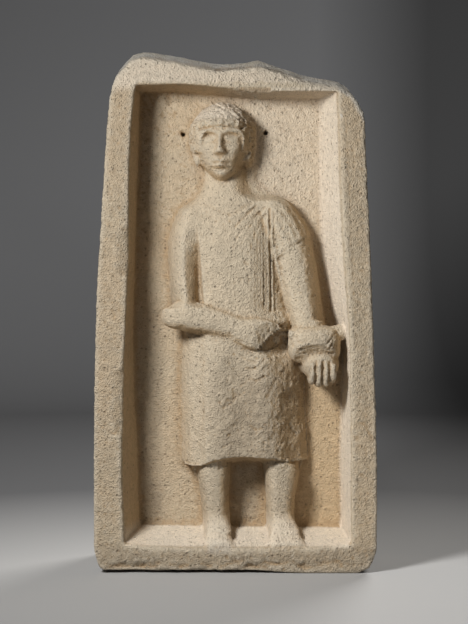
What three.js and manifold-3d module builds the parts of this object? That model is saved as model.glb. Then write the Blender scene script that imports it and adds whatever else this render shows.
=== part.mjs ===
// Carved limestone stele: a tapering slab with a deep niche, and in it a standing boy in a
// short-sleeved tunic who holds a small worn bird. One block of stone, so one solid.
// Millimetres. +Z is up, the carved face looks along -Y, and +X is to the viewer's right.
// The origin is at the middle of the underside.

import * as THREE from 'three';
import { mergeVertices } from 'three/addons/utils/BufferGeometryUtils.js';
import Module from 'manifold-3d';

const wasm = await Module();
wasm.setup();

// ---- driving dimensions ----------------------------------------------------------------

const BASE_HALF_WIDTH = 267; // the slab is widest just above the ground
const THICKNESS = 205;
const FRONT = -THICKNESS / 2;
const TAPER_START = 200; // the sides are upright below this height
const TAPER_LENGTH = 700;
const LEFT_TAPER = 28;
const RIGHT_TAPER = 22;
const ARRIS = 5; // softened edges of the slab

const NICHE_TOP_DEPTH = 92;
const NICHE_FLOOR_DEPTH = 117;
const NICHE_TOP = 922; // height of the soffit at the left
const NICHE_TOP_FALL = 13; // the soffit drops this much to the right
const NICHE_FLOOR_FRONT = 46;
const NICHE_FLOOR_BACK = 72;

const HOLE_RADIUS = 4.6;
const HOLE_DEPTH = 34;
const HOLES = [[-102, 841], [60, 844]];

const HEM = 209;

const SLIVER = 0.05; // vertices nearer than this are one

// ---- numbers along a line --------------------------------------------------------------

const lerp = THREE.MathUtils.lerp;
const clamp = THREE.MathUtils.clamp;

// A row of a table at height t: the first column is the height, the others run smoothly
// through their values.
function rowAt(table, t) {
  const last = table.length - 1;
  const at = clamp(t, table[0][0], table[last][0]);
  let i = 0;
  while (i < last - 1 && at > table[i + 1][0]) i += 1;
  const span = table[i + 1][0] - table[i][0];
  const s = (at - table[i][0]) / span;
  return table[i].slice(1).map((_, column) => {
    const value = (row) => table[clamp(row, 0, last)][column + 1];
    const height = (row) => table[clamp(row, 0, last)][0];
    const slope = (row) => (value(row + 1) - value(row - 1)) / (height(row + 1) - height(row - 1));
    const a = slope(i) * span;
    const b = slope(i + 1) * span;
    const s2 = s * s;
    const s3 = s2 * s;
    return value(i) * (2 * s3 - 3 * s2 + 1) + a * (s3 - 2 * s2 + s)
      + value(i + 1) * (3 * s2 - 2 * s3) + b * (s3 - s2);
  });
}

const bump = (distance, reach) => Math.exp(-((distance / reach) ** 2));

// ---- solids ----------------------------------------------------------------------------

// The closed body of a geometry, with vertices nearer than `nearness` merged, and the
// triangles left out that this flattens to a line.
function solid(geometry, nearness = 1e-3) {
  geometry.deleteAttribute('normal');
  geometry.deleteAttribute('uv');
  const merged = mergeVertices(geometry, nearness);
  const corners = [...merged.index.array];
  const kept = [];
  for (let i = 0; i < corners.length; i += 3) {
    const [a, b, c] = corners.slice(i, i + 3);
    if (a !== b && b !== c && c !== a) kept.push(a, b, c);
  }
  return new wasm.Manifold(new wasm.Mesh({
    numProp: 3,
    vertProperties: new Float32Array(merged.attributes.position.array),
    triVerts: new Uint32Array(kept),
  }));
}

// Moves every vertex of a geometry by a function of its place.
function moved(geometry, place) {
  const position = geometry.attributes.position;
  const point = new THREE.Vector3();
  for (let i = 0; i < position.count; i += 1) {
    point.fromBufferAttribute(position, i);
    place(point);
    position.setXYZ(i, point.x, point.y, point.z);
  }
  return geometry;
}

const power = (value, exponent) => Math.sign(value) * Math.abs(value) ** exponent;

// A body along a path. A station is [x, depth, z, half width, half thickness, squareness];
// depth is measured back from the frame's front, and `across` is the direction of thickness.
// `pleat` draws every second column in by that much.
function limb(stations, sides, rings, across = new THREE.Vector3(0, 1, 0), pleat = 0) {
  const centre = (t) => {
    const [x, depth, z] = rowAt(stations.map((row, i) => [i, ...row]), t);
    return new THREE.Vector3(x, FRONT + depth, z);
  };
  const geometry = new THREE.CylinderGeometry(1, 1, 1, sides, rings);
  const last = stations.length - 1;
  return solid(moved(geometry, (point) => {
    const t = (0.5 - point.y) * last;
    const [, , , width, thickness, squareness] = rowAt(stations.map((row, i) => [i, ...row]), t);
    const ahead = centre(Math.min(t + 0.05, last)).sub(centre(Math.max(t - 0.05, 0))).normalize();
    const wide = new THREE.Vector3().crossVectors(across, ahead).normalize();
    const thick = new THREE.Vector3().crossVectors(ahead, wide);
    const angle = Math.atan2(point.z, point.x);
    const column = Math.round((angle / (2 * Math.PI)) * sides);
    const radius = Math.hypot(point.x, point.z) * (column % 2 ? 1 - pleat / thickness : 1);
    const exponent = 2 / squareness;
    const u = power(Math.cos(angle), exponent) * width * radius;
    const v = power(Math.sin(angle), exponent) * thickness * radius;
    const middle = centre(t);
    point.copy(middle).addScaledVector(wide, u).addScaledVector(thick, v);
  }));
}

// A rounded lump: an egg of given half sizes, then shaped by a function.
function lump(centre, half, columns, rows, shape = () => {}) {
  const geometry = new THREE.SphereGeometry(1, columns, rows);
  return solid(moved(geometry, (point) => {
    point.set(point.x, -point.z, point.y);
    shape(point);
    point.set(
      centre[0] + point.x * half[0],
      FRONT + centre[1] + point.y * half[1],
      centre[2] + point.z * half[2],
    );
  }));
}

// A bar through a list of [x, depth, z] points, round in section.
function bar(points, radius, sides, steps) {
  const path = new THREE.CatmullRomCurve3(
    points.map(([x, depth, z]) => new THREE.Vector3(x, FRONT + depth, z)),
  );
  const section = new THREE.Shape();
  for (let i = 0; i < sides; i += 1) {
    const angle = (i / sides) * Math.PI * 2;
    if (i === 0) section.moveTo(radius, 0);
    else section.lineTo(Math.cos(angle) * radius, Math.sin(angle) * radius);
  }
  section.closePath();
  return solid(new THREE.ExtrudeGeometry(section, { steps, extrudePath: path, curveSegments: 1 }));
}

// A box cut away at an angle, for a broken corner: centre as [x, depth, z], turned in degrees.
function brokenBlock(centre, size, turn) {
  const geometry = new THREE.BoxGeometry(...size);
  const angles = turn.map((degrees) => THREE.MathUtils.degToRad(degrees));
  geometry.applyMatrix4(new THREE.Matrix4().makeRotationFromEuler(new THREE.Euler(...angles)));
  geometry.translate(centre[0], FRONT + centre[1], centre[2]);
  return solid(geometry);
}

// ---- the slab --------------------------------------------------------------------------

const taper = (z) => clamp((z - TAPER_START) / TAPER_LENGTH, 0, 1.1);
const slabLeft = (z) => -(BASE_HALF_WIDTH - LEFT_TAPER * taper(z) ** 2.2);
const slabRight = (z) => BASE_HALF_WIDTH - RIGHT_TAPER * taper(z) ** 1.3;

// The broken top from left to right.
const TOP_BREAK = [
  [-238, 902], [-234, 938], [-219, 966], [-197, 989], [-172, 995], [-103, 984], [-66, 976],
  [-26, 970], [18, 974], [43, 979], [66, 972], [124, 951], [163, 943], [194, 938], [214, 925],
  [228, 903], [244, 870],
];

function slabOutline() {
  const outline = new THREE.Shape();
  const rise = 12;
  const side = [45, 120, 200, 300, 400, 500, 600, 700, 800];
  outline.moveTo(-BASE_HALF_WIDTH + 22, 0);
  outline.lineTo(BASE_HALF_WIDTH - 34, 0);
  outline.lineTo(BASE_HALF_WIDTH - 12, rise);
  side.forEach((z) => outline.lineTo(slabRight(z), z));
  [...TOP_BREAK].reverse().forEach(([x, z]) => outline.lineTo(x, z));
  [...side].reverse().forEach((z) => outline.lineTo(slabLeft(z), z));
  outline.lineTo(-BASE_HALF_WIDTH + 8, rise);
  outline.closePath();
  return outline;
}

function slab() {
  const geometry = new THREE.ExtrudeGeometry(slabOutline(), {
    depth: THICKNESS - 2 * ARRIS,
    steps: 5,
    bevelEnabled: true,
    bevelSize: ARRIS,
    bevelOffset: -ARRIS,
    bevelThickness: ARRIS,
    bevelSegments: 1,
    curveSegments: 4,
  });
  return solid(moved(geometry, (point) => {
    point.set(point.x, THICKNESS / 2 - ARRIS - point.z, point.y);
    // the break is rounded from front to back, and falls most towards the carved face
    const depth = point.y - FRONT;
    const height = clamp((point.z - 850) / 120, 0, 1);
    const fall = 24 * bump(depth, 30) + 18 * clamp((depth - 120) / 85, 0, 1) ** 2;
    point.z -= fall * height;
    // the underside is dead flat, worn up a little along its front edge at the left
    const worn = 6 * clamp(1 - depth / 40, 0, 1) * clamp((120 - point.x) / 90, 0, 1);
    if (point.z < 6) point.z = worn;
  }));
}

// ---- the niche -------------------------------------------------------------------------

// [height, left at the front, left at the back, right at the front, right at the back]
const NICHE_SIDES = [
  [40, -209, -185, 219, 209],
  [120, -214, -189, 219, 210],
  [220, -216, -192, 219, 208],
  [320, -214, -197, 218, 211],
  [400, -212, -199, 217, 213],
  [450, -209, -199, 216, 206],
  [500, -207, -199, 214, 191],
  [560, -205, -197, 210, 180],
  [640, -203, -195, 205, 169],
  [760, -201, -191, 199, 167],
  [850, -198, -188, 197, 166],
  [922, -190, -186, 194, 165],
];

// Depth of the niche's plain back at a height.
const nicheDepth = (z) => lerp(NICHE_FLOOR_DEPTH, NICHE_TOP_DEPTH, clamp(z / NICHE_TOP, 0, 1));

function niche() {
  const beyond = 0.12; // the cutter reaches this share of its depth out in front
  const geometry = new THREE.BoxGeometry(1, 1, 1, 6, 3, 16);
  return solid(moved(geometry, (point) => {
    const u = point.x + 0.5;
    const s = lerp(-beyond, 1, point.y + 0.5);
    const v = point.z + 0.5;
    const fallen = NICHE_TOP - NICHE_TOP_FALL * THREE.MathUtils.smoothstep(u, 0.2, 0.65);
    const floor = lerp(NICHE_FLOOR_FRONT + 8 * (2 * u - 1) ** 4, NICHE_FLOOR_BACK, s) + 6 * (0.5 - u) * s;
    const z = lerp(floor, fallen, v);
    const [leftFront, leftBack, rightFront, rightBack] = rowAt(NICHE_SIDES, z);
    const x = lerp(lerp(leftFront, leftBack, s), lerp(rightFront, rightBack, s), u);
    point.set(x, FRONT + s * nicheDepth(z), z);
  }));
}

function holes() {
  return HOLES.map(([x, z]) => {
    const length = HOLE_DEPTH + 30;
    const geometry = new THREE.CylinderGeometry(HOLE_RADIUS, HOLE_RADIUS, length, 14);
    geometry.translate(x, FRONT + nicheDepth(z) + HOLE_DEPTH - length / 2, z);
    return solid(geometry);
  });
}

// ---- the tunic -------------------------------------------------------------------------

// [height, middle, half width at the back, depth of the front, squareness]
const TUNIC = [
  [HEM, 19, 125, 31, 3.4],
  [260, 17, 124, 30, 3.3],
  [330, 14, 122, 29, 3.2],
  [400, 13, 120, 30, 3.1],
  [450, 10, 113, 32, 3.0],
  [500, 6, 104, 34, 2.8],
  [560, 3, 98, 33, 2.8],
  [615, 2, 99, 32, 2.8],
  [650, 1, 112, 35, 2.6],
  [685, -2, 100, 44, 2.3],
  [714, -8, 62, 60, 2.1],
];

// Depth of the tunic's front at a place across it.
function tunicDepth(x, z) {
  const [middle, half, front, squareness] = rowAt(TUNIC, z);
  const back = nicheDepth(z) + 8;
  const share = Math.min(Math.abs(x - middle) / half, 1);
  return back - (back - front) * (1 - share ** squareness) ** (1 / squareness);
}

// How far the cloth is folded in at a place, from 0 to 1: upright folds under the shoulder.
function foldZone(x, z) {
  const across = THREE.MathUtils.smoothstep(x, 36, 46) * (1 - THREE.MathUtils.smoothstep(x, 80, 90));
  const along = THREE.MathUtils.smoothstep(z, 505, 560) * (1 - THREE.MathUtils.smoothstep(z, 672, 700));
  return across * along;
}

function tunic() {
  const columns = 48;
  const geometry = new THREE.CylinderGeometry(1, 1, 1, columns, 20);
  const [low, high] = [TUNIC[0][0], TUNIC[TUNIC.length - 1][0]];
  const crowd = -0.86; // columns crowd around this angle, where the folds hang
  return solid(moved(geometry, (point) => {
    const radius = Math.hypot(point.x, point.z);
    const even = Math.atan2(point.z, point.x);
    const column = Math.round((even / (2 * Math.PI)) * columns);
    const angle = crowd + (even - crowd) * (1 - 0.55 * bump(even - crowd, 0.9));
    const t = 0.5 - point.y;
    const z = lerp(low, high, t);
    const [middle, half, front, squareness] = rowAt(TUNIC, z);
    const back = nicheDepth(z) + 8;
    const reach = Math.sin(angle) < 0 ? back - front : 25;
    const x = middle + power(Math.cos(angle), 2 / squareness) * half * radius;
    const y = FRONT + back + power(Math.sin(angle), 2 / squareness) * reach * radius;
    // the hem bows up in the middle and dips at the sides
    const bow = (1 - t) ** 8 * (6 - 12 * Math.min(Math.abs(x - middle) / 95, 1) ** 2);
    // every second column is drawn in, which makes the folds
    const drawn = column % 2 ? 5 * foldZone(x, z) : 0;
    point.set(x, y + drawn, z + bow);
  }));
}

function neckline() {
  const half = 58;
  const points = [];
  for (let i = -3; i <= 3; i += 1) {
    const share = i / 3;
    const x = -8 + half * share;
    const z = 673 + (share < 0 ? 26 : 36) * Math.abs(share) ** 1.2;
    points.push([x, tunicDepth(x, z) + 1 - 3 * (1 - share * share), z]);
  }
  return bar(points, 4.5, 6, 12);
}

// ---- arms and hands --------------------------------------------------------------------

// Stations: [x, depth, z, half width, half thickness, squareness]
const RIGHT_UPPER_ARM = [
  [-62, 92, 700, 26, 42, 2.2],
  [-84, 90, 676, 38, 50, 2.3],
  [-95, 88, 630, 38, 52, 2.4],
  [-97, 86, 570, 34, 50, 2.4],
  [-96, 82, 520, 31, 52, 2.4],
  [-93, 78, 488, 26, 52, 2.4],
  [-92, 80, 470, 16, 40, 2.2],
];

const RIGHT_FOREARM = [
  [-110, 76, 486, 20, 40, 2.2],
  [-98, 62, 487, 29, 42, 2.3],
  [-70, 52, 482, 26, 34, 2.3],
  [-36, 44, 474, 23, 27, 2.3],
  [-8, 38, 466, 19, 22, 2.3],
  [10, 36, 459, 23, 22, 2.5],
  [34, 35, 452, 29, 22, 2.7],
  [60, 36, 450, 25, 21, 2.6],
  [78, 38, 452, 15, 18, 2.2],
];

const LEFT_ARM = [
  [48, 92, 704, 22, 38, 2.2],
  [76, 92, 682, 36, 48, 2.3],
  [103, 94, 640, 40, 52, 2.5],
  [117, 96, 590, 40, 55, 2.6],
  [127, 98, 540, 38, 60, 2.6],
  [137, 98, 490, 35, 68, 2.6],
  [143, 98, 455, 33, 76, 2.6],
  [146, 98, 430, 28, 78, 2.4],
];

// The pleated short sleeve, cut off at a slant above the elbow.
function leftSleeve() {
  const stations = LEFT_ARM.slice(0, 5).map(([x, depth, z, width, thickness, squareness]) => (
    [x, depth, z, width + 3, thickness + 4, squareness]
  ));
  const below = brokenBlock([131.5, 60, 570], [180, 260, 100], [0, -32, 0]);
  return limb(stations, 36, 10, new THREE.Vector3(0, 1, 0), 3).subtract(below);
}

function fingers() {
  const across = [146, 159, 172, 185];
  return across.map((x, i) => {
    const lift = [0, -5, -5, 2][i];
    const points = [
      [x - 2, 58, 366 + lift], [x - 1, 22, 361 + lift], [x, 9, 370 + lift], [x, 8, 384], [x, 11, 398 - i],
    ];
    return bar(points, 6.6, 8, 8);
  });
}

function leftHand() {
  const palm = lump([163, 58, 392], [37, 50, 33], 16, 12);
  return [palm, ...fingers()];
}

// The worn bird: a plump body with a broken front, its neck bridging to the other hand.
function bird() {
  const body = lump([151, 50, 430], [51, 46, 38], 20, 12, (point) => {
    point.z = power(point.z, 0.7);
    point.x = power(point.x, 0.85);
  });
  const neck = bar([[124, 28, 446], [104, 22, 449], [84, 24, 452]], 9, 8, 4);
  const tail = bar([[172, 42, 446], [196, 46, 452], [212, 60, 456]], 17, 8, 4);
  const breakFace = brokenBlock([160, -15, 392], [130, 50, 60], [-38, 0, 0]);
  return { whole: [body, neck, tail], breakFace };
}

// ---- legs and feet ---------------------------------------------------------------------

const LEFT_LEG = [
  [-42, 104, 232, 33, 56, 2.4],
  [-43, 106, 180, 32, 58, 2.4],
  [-41, 108, 130, 27, 56, 2.4],
  [-38, 108, 90, 26, 56, 2.4],
  [-36, 106, 50, 28, 60, 2.4],
];

const RIGHT_LEG = [
  [88, 104, 232, 35, 56, 2.4],
  [90, 106, 180, 34, 58, 2.4],
  [88, 108, 130, 28, 56, 2.4],
  [88, 108, 90, 27, 56, 2.4],
  [90, 106, 50, 29, 60, 2.4],
];

const LEFT_FOOT = [
  [-36, 96, 58, 24, 54, 2.3],
  [-36, 62, 56, 25, 46, 2.3],
  [-34, 40, 52, 26, 30, 2.5],
  [-31, 20, 46, 27, 18, 2.8],
  [-29, 7, 42, 25, 13, 2.8],
];

const RIGHT_FOOT = [
  [90, 96, 58, 26, 54, 2.3],
  [91, 62, 56, 27, 46, 2.3],
  [94, 40, 52, 31, 30, 2.5],
  [97, 20, 46, 36, 18, 2.8],
  [98, 7, 42, 33, 13, 2.8],
];

// ---- head ------------------------------------------------------------------------------

const HEAD = [-21, 78, 822]; // middle of the head, as x, depth and height
const HEAD_HALF = [56, 60, 77];
const HEAD_TURN = 5; // degrees towards the viewer's left
const FRINGE = 844; // height of the straight lower edge of the hair over the brow

// Places on the head in shares of its half height: z from chin at -1 to crown at 1.
function faceRelief(x, z) {
  const side = Math.abs(x);
  const nose = 0.2 * bump(x, 0.11 + 0.05 * clamp(-z / 0.35, 0, 1)) * THREE.MathUtils.smoothstep(-z, -0.14, 0.26)
    * (1 - THREE.MathUtils.smoothstep(-z, 0.27, 0.38));
  const bridge = 0.05 * bump(x, 0.1) * bump(z - 0.06, 0.16);
  const socket = -0.09 * bump(side - 0.3, 0.17) * bump(z + 0.02, 0.11);
  const eyeball = 0.055 * bump(side - 0.3, 0.11) * bump(z + 0.02, 0.055);
  const brow = 0.05 * bump(side - 0.3, 0.24) * bump(z - 0.14, 0.06);
  const lips = 0.065 * bump(x, 0.19) * (bump(z + 0.53, 0.045) + bump(z + 0.65, 0.05));
  const seam = -0.02 * bump(x, 0.18) * bump(z + 0.59, 0.025);
  const chin = 0.07 * bump(x, 0.2) * bump(z + 0.85, 0.12);
  const cheek = 0.03 * bump(side - 0.42, 0.2) * bump(z + 0.26, 0.2);
  return nose + bridge + socket + eyeball + brow + lips + seam + chin + cheek;
}

function turned(body, centre, degrees) {
  const [x, depth, z] = centre;
  return body.translate([-x, -(FRONT + depth), -z]).rotate([0, 0, degrees]).translate([x, FRONT + depth, z]);
}

function head() {
  const skull = lump(HEAD, HEAD_HALF, 38, 32, (point) => {
    // vertices crowd towards the face
    const around = Math.atan2(point.x, -point.y);
    const crowded = around * (0.52 + 0.48 * (Math.abs(around) / Math.PI));
    const ring = Math.hypot(point.x, point.y);
    point.x = Math.sin(crowded) * ring;
    point.y = -Math.cos(crowded) * ring;
    const jaw = clamp(-point.z, 0, 1);
    const front = point.y < 0;
    const x = point.x * HEAD_HALF[0] / HEAD_HALF[2];
    const z = point.z;
    point.x *= 1 - 0.2 * jaw ** 1.8;
    if (front) point.y = -(Math.abs(point.y) ** 0.72) * (1 - 0.1 * jaw ** 2);
    if (front) point.y -= faceRelief(x, z) * HEAD_HALF[2] / HEAD_HALF[1];
  });
  return turned(skull, HEAD, -HEAD_TURN);
}

// A close cap of hair, cut off straight above the brow and running down behind the ears.
function hair() {
  const cap = lump([HEAD[0], HEAD[1] + 10, HEAD[2] + 8], [66, 68, 73], 26, 16, (point) => {
    if (point.y < 0) point.y = -(Math.abs(point.y) ** 0.85);
  });
  const below = brokenBlock([HEAD[0], 0, FRINGE - 70], [160, 92, 140], [0, 0, 0]);
  const nape = brokenBlock([HEAD[0], 50, HEAD[2] - 90], [180, 160, 90], [0, 0, 0]);
  return turned(cap.subtract(below).subtract(nape), HEAD, -HEAD_TURN);
}

function ears() {
  return [-1, 1].map((side) => {
    const ear = lump([HEAD[0] + side * 59, HEAD[1] + 2, HEAD[2] - 10], [10, 12, 19], 10, 8);
    return turned(ear, HEAD, -HEAD_TURN);
  });
}

const NECK = [
  [-14, 98, 800, 54, 44, 2.2],
  [-12, 98, 756, 52, 46, 2.2],
  [-11, 98, 732, 60, 47, 2.2],
  [-9, 98, 710, 82, 50, 2.2],
  [-6, 98, 680, 98, 56, 2.3],
];

// ---- the whole stone -------------------------------------------------------------------

// Pieces broken away: the top right corner, and two flakes off the niche's left edge.
function breaks() {
  return [
    brokenBlock([236, -4, 930], [190, 220, 100], [50, 14, 0]),
    brokenBlock([-206, -2, 607], [22, 18, 92], [0, 4, 24]),
    brokenBlock([-215, -3, 322], [22, 18, 122], [0, 2, 20]),
  ];
}

function stele() {
  let stone = slab().subtract(niche());
  breaks().forEach((piece) => { stone = stone.subtract(piece); });
  holes().forEach((hole) => { stone = stone.subtract(hole); });
  const { whole, breakFace } = bird();
  let birdAndHand = whole[0];
  whole.slice(1).forEach((body) => { birdAndHand = birdAndHand.add(body); });
  birdAndHand = birdAndHand.subtract(breakFace);
  const bodies = [
    tunic(),
    neckline(),
    limb(NECK, 24, 8),
    limb(LEFT_ARM, 20, 14),
    leftSleeve(),
    limb(RIGHT_UPPER_ARM, 20, 14),
    limb(RIGHT_FOREARM, 18, 18),
    ...leftHand(),
    birdAndHand,
    head(),
    hair(),
    ...ears(),
    limb(LEFT_LEG, 16, 8),
    limb(RIGHT_LEG, 16, 8),
    limb(LEFT_FOOT, 16, 10, new THREE.Vector3(0, 0, 1)),
    limb(RIGHT_FOOT, 16, 10, new THREE.Vector3(0, 0, 1)),
  ];
  bodies.forEach((body) => { stone = stone.add(body); });
  return stone;
}

function geometryOf(body) {
  const { vertProperties, triVerts } = body.getMesh();
  const geometry = new THREE.BufferGeometry();
  geometry.setAttribute('position', new THREE.BufferAttribute(vertProperties, 3));
  geometry.setIndex(new THREE.BufferAttribute(triVerts, 1));
  return geometry;
}

// A mesh of a body, without the slivers that joining leaves.
function meshOf(body, name, material) {
  const mesh = new THREE.Mesh(geometryOf(solid(geometryOf(body), SLIVER)), material);
  mesh.name = name;
  return mesh;
}

const limestone = new THREE.MeshStandardMaterial({ color: 0xbfae92, roughness: 0.92, metalness: 0 });

const group = new THREE.Group();
group.add(meshOf(stele(), 'stele', limestone));

export default group;
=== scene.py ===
"""Carved limestone stele: a slab with a deep niche and, in it, a standing boy with a small bird."""

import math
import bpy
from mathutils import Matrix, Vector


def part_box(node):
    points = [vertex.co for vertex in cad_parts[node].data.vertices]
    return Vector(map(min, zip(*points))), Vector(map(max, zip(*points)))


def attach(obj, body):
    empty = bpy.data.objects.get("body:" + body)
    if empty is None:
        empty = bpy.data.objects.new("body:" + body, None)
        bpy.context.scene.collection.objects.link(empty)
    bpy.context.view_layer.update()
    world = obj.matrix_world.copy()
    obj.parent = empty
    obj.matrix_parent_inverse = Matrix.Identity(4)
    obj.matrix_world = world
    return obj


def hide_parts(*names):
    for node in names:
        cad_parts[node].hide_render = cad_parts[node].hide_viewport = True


bl_info = {
    "name": "Carved limestone stele",
    "version": (1, 0, 0),
    "blender": (4, 5, 0),
    "location": "View3D > Sidebar > Stele",
    "description": "Carves and weathers a framed limestone relief and stands it in a plain studio",
    "category": "Object",
}

import bmesh
import bpy
import numpy as np
from mathutils import Matrix, Vector

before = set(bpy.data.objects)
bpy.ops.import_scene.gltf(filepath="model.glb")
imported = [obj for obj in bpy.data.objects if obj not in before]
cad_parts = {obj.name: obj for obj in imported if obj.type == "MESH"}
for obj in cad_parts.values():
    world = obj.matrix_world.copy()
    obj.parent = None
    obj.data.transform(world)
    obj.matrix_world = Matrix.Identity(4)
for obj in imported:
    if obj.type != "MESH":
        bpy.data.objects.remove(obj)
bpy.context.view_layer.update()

# ---- sizes, in millimetres -------------------------------------------------------------

MM = 0.001
LOW, HIGH = (np.array(corner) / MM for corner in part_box("stele"))
FRONT = LOW[1]
THICKNESS = HIGH[1] - LOW[1]
BASE_HALF_WIDTH = HIGH[0]
TAPER_START = 200
TAPER_LENGTH = 700
LEFT_TAPER = 28
RIGHT_TAPER = 22

NICHE_TOP_DEPTH = 92
NICHE_FLOOR_DEPTH = 117
NICHE_TOP = 922
NICHE_TOP_FALL = 13
NICHE_FLOOR_FRONT = 46
NICHE_FLOOR_BACK = 72

HOLE_RADIUS = 6.2
HOLE_DEPTH = 34
HOLES = [(-102, 841), (60, 844)]
HEM = 209

# The broken top from left to right.
TOP_BREAK = [
    (-268, 880), (-246, 884), (-238, 902), (-234, 938), (-219, 966), (-197, 989), (-172, 995),
    (-103, 984), (-66, 976), (-26, 970), (18, 974), (43, 979), (66, 972), (124, 951), (163, 943),
    (194, 938), (214, 925), (228, 903), (246, 866), (268, 850),
]

# height; the niche's left wall in front and behind, then its right wall in front and behind
NICHE_SIDES = [
    (40, -209, -185, 219, 209),
    (120, -214, -189, 219, 210),
    (220, -216, -192, 219, 208),
    (320, -214, -197, 218, 211),
    (400, -212, -199, 217, 213),
    (450, -209, -199, 216, 206),
    (500, -207, -199, 214, 191),
    (560, -205, -197, 210, 180),
    (640, -203, -195, 205, 169),
    (760, -201, -191, 199, 167),
    (850, -198, -188, 197, 166),
    (922, -190, -186, 194, 165),
]

# height, middle, half width at the back, depth of the front, squareness
TUNIC = [
    (HEM, 19, 125, 31, 3.4),
    (260, 17, 124, 30, 3.3),
    (330, 14, 122, 29, 3.2),
    (400, 13, 120, 30, 3.1),
    (450, 10, 113, 32, 3.0),
    (500, 6, 104, 34, 2.8),
    (560, 3, 98, 33, 2.8),
    (615, 2, 99, 32, 2.8),
    (650, 1, 112, 35, 2.6),
    (685, -2, 100, 44, 2.3),
    (714, -8, 62, 60, 2.1),
]

# Limbs, station by station: x, depth, z, half width, half thickness, squareness.
RIGHT_UPPER_ARM = [
    (-62, 92, 692, 26, 40, 2.2),
    (-84, 90, 667, 36, 48, 2.3),
    (-94, 88, 625, 38, 52, 2.4),
    (-97, 86, 570, 34, 50, 2.4),
    (-96, 82, 520, 31, 52, 2.4),
    (-93, 78, 488, 26, 52, 2.4),
    (-92, 80, 470, 16, 40, 2.2),
]
RIGHT_FOREARM = [
    (-110, 76, 486, 20, 40, 2.2),
    (-98, 60, 486, 30, 43, 2.9),
    (-70, 52, 481, 28, 36, 2.9),
    (-36, 44, 473, 25, 29, 2.8),
    (-8, 38, 465, 21, 23, 2.6),
    (10, 36, 458, 24, 22, 2.6),
    (34, 35, 451, 30, 23, 3.0),
    (62, 36, 448, 29, 22, 3.0),
    (84, 38, 450, 20, 19, 2.4),
]
LEFT_ARM = [
    (48, 92, 704, 22, 38, 2.2),
    (76, 92, 682, 36, 48, 2.3),
    (103, 94, 640, 40, 52, 2.5),
    (117, 96, 590, 40, 55, 2.6),
    (127, 98, 540, 38, 60, 2.6),
    (137, 98, 490, 35, 68, 2.6),
    (143, 98, 455, 33, 76, 2.6),
    (146, 98, 430, 28, 78, 2.4),
]
NECK = [
    (-14, 98, 800, 54, 36, 2.2),
    (-12, 98, 756, 50, 35, 2.2),
    (-11, 98, 732, 58, 42, 2.2),
    (-9, 98, 710, 82, 50, 2.2),
    (-6, 98, 680, 98, 56, 2.3),
]
LEFT_LEG = [
    (-42, 104, 232, 33, 56, 2.4),
    (-43, 106, 180, 32, 58, 2.4),
    (-41, 108, 130, 27, 56, 2.4),
    (-38, 108, 90, 26, 56, 2.4),
    (-36, 106, 50, 28, 60, 2.4),
]
RIGHT_LEG = [
    (88, 104, 232, 35, 56, 2.4),
    (90, 106, 180, 34, 58, 2.4),
    (88, 108, 130, 28, 56, 2.4),
    (88, 108, 90, 27, 56, 2.4),
    (90, 106, 50, 29, 60, 2.4),
]
LEFT_FOOT = [
    (-36, 96, 58, 24, 54, 2.3),
    (-36, 62, 56, 25, 46, 2.3),
    (-34, 40, 52, 26, 30, 2.5),
    (-31, 20, 46, 27, 18, 2.8),
    (-29, 7, 42, 25, 13, 2.8),
]
RIGHT_FOOT = [
    (90, 96, 58, 26, 54, 2.3),
    (91, 62, 56, 27, 46, 2.3),
    (94, 40, 52, 31, 30, 2.5),
    (97, 20, 46, 36, 18, 2.8),
    (98, 7, 42, 33, 13, 2.8),
]
# stone left under the hem's two corners
HEM_WEBS = [
    [(120, 114, 244, 24, 32, 2.2), (111, 116, 192, 17, 28, 2.2), (105, 118, 150, 14, 22, 2.2)],
    [(-86, 114, 240, 20, 32, 2.2), (-74, 116, 196, 16, 28, 2.2), (-62, 118, 162, 12, 22, 2.2)],
]

HEAD = (-24, 78, 822)
HEAD_HALF = (52, 60, 77)
HEAD_TURN = 5
FRINGE = 844


# ---- numbers ---------------------------------------------------------------------------


def lerp(a, b, t):
    return a + (b - a) * t


def ramp(low, high, value):
    """0 below low, 1 above high, and smooth between; high may be the lower number."""
    t = np.clip((np.asarray(value, float) - low) / (high - low), 0, 1)
    return t * t * (3 - 2 * t)


def window(value, outer, inner, far_outer, far_inner):
    """1 between the inner numbers and 0 beyond the outer ones."""
    return ramp(outer, inner, value) * ramp(far_outer, far_inner, value)


def bump(distance, reach):
    return np.exp(-((distance / reach) ** 2))


def rows_at(table, heights):
    """The rows of a table at given heights: each column runs smoothly through its values."""
    table = np.asarray(table, float)
    knots, values = table[:, 0], table[:, 1:]
    last = len(knots) - 1
    at = np.clip(heights, knots[0], knots[-1])
    i = np.clip(np.searchsorted(knots, at) - 1, 0, last - 1)
    up, down = np.minimum(np.arange(last + 1) + 1, last), np.maximum(np.arange(last + 1) - 1, 0)
    slopes = (values[up] - values[down]) / (knots[up] - knots[down])[:, None]
    span = (knots[i + 1] - knots[i])[..., None]
    s = (at - knots[i])[..., None] / span
    s2, s3 = s * s, s * s * s
    return (
        values[i] * (2 * s3 - 3 * s2 + 1)
        + slopes[i] * span * (s3 - 2 * s2 + s)
        + values[i + 1] * (3 * s2 - 2 * s3)
        + slopes[i + 1] * span * (s3 - s2)
    )


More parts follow.
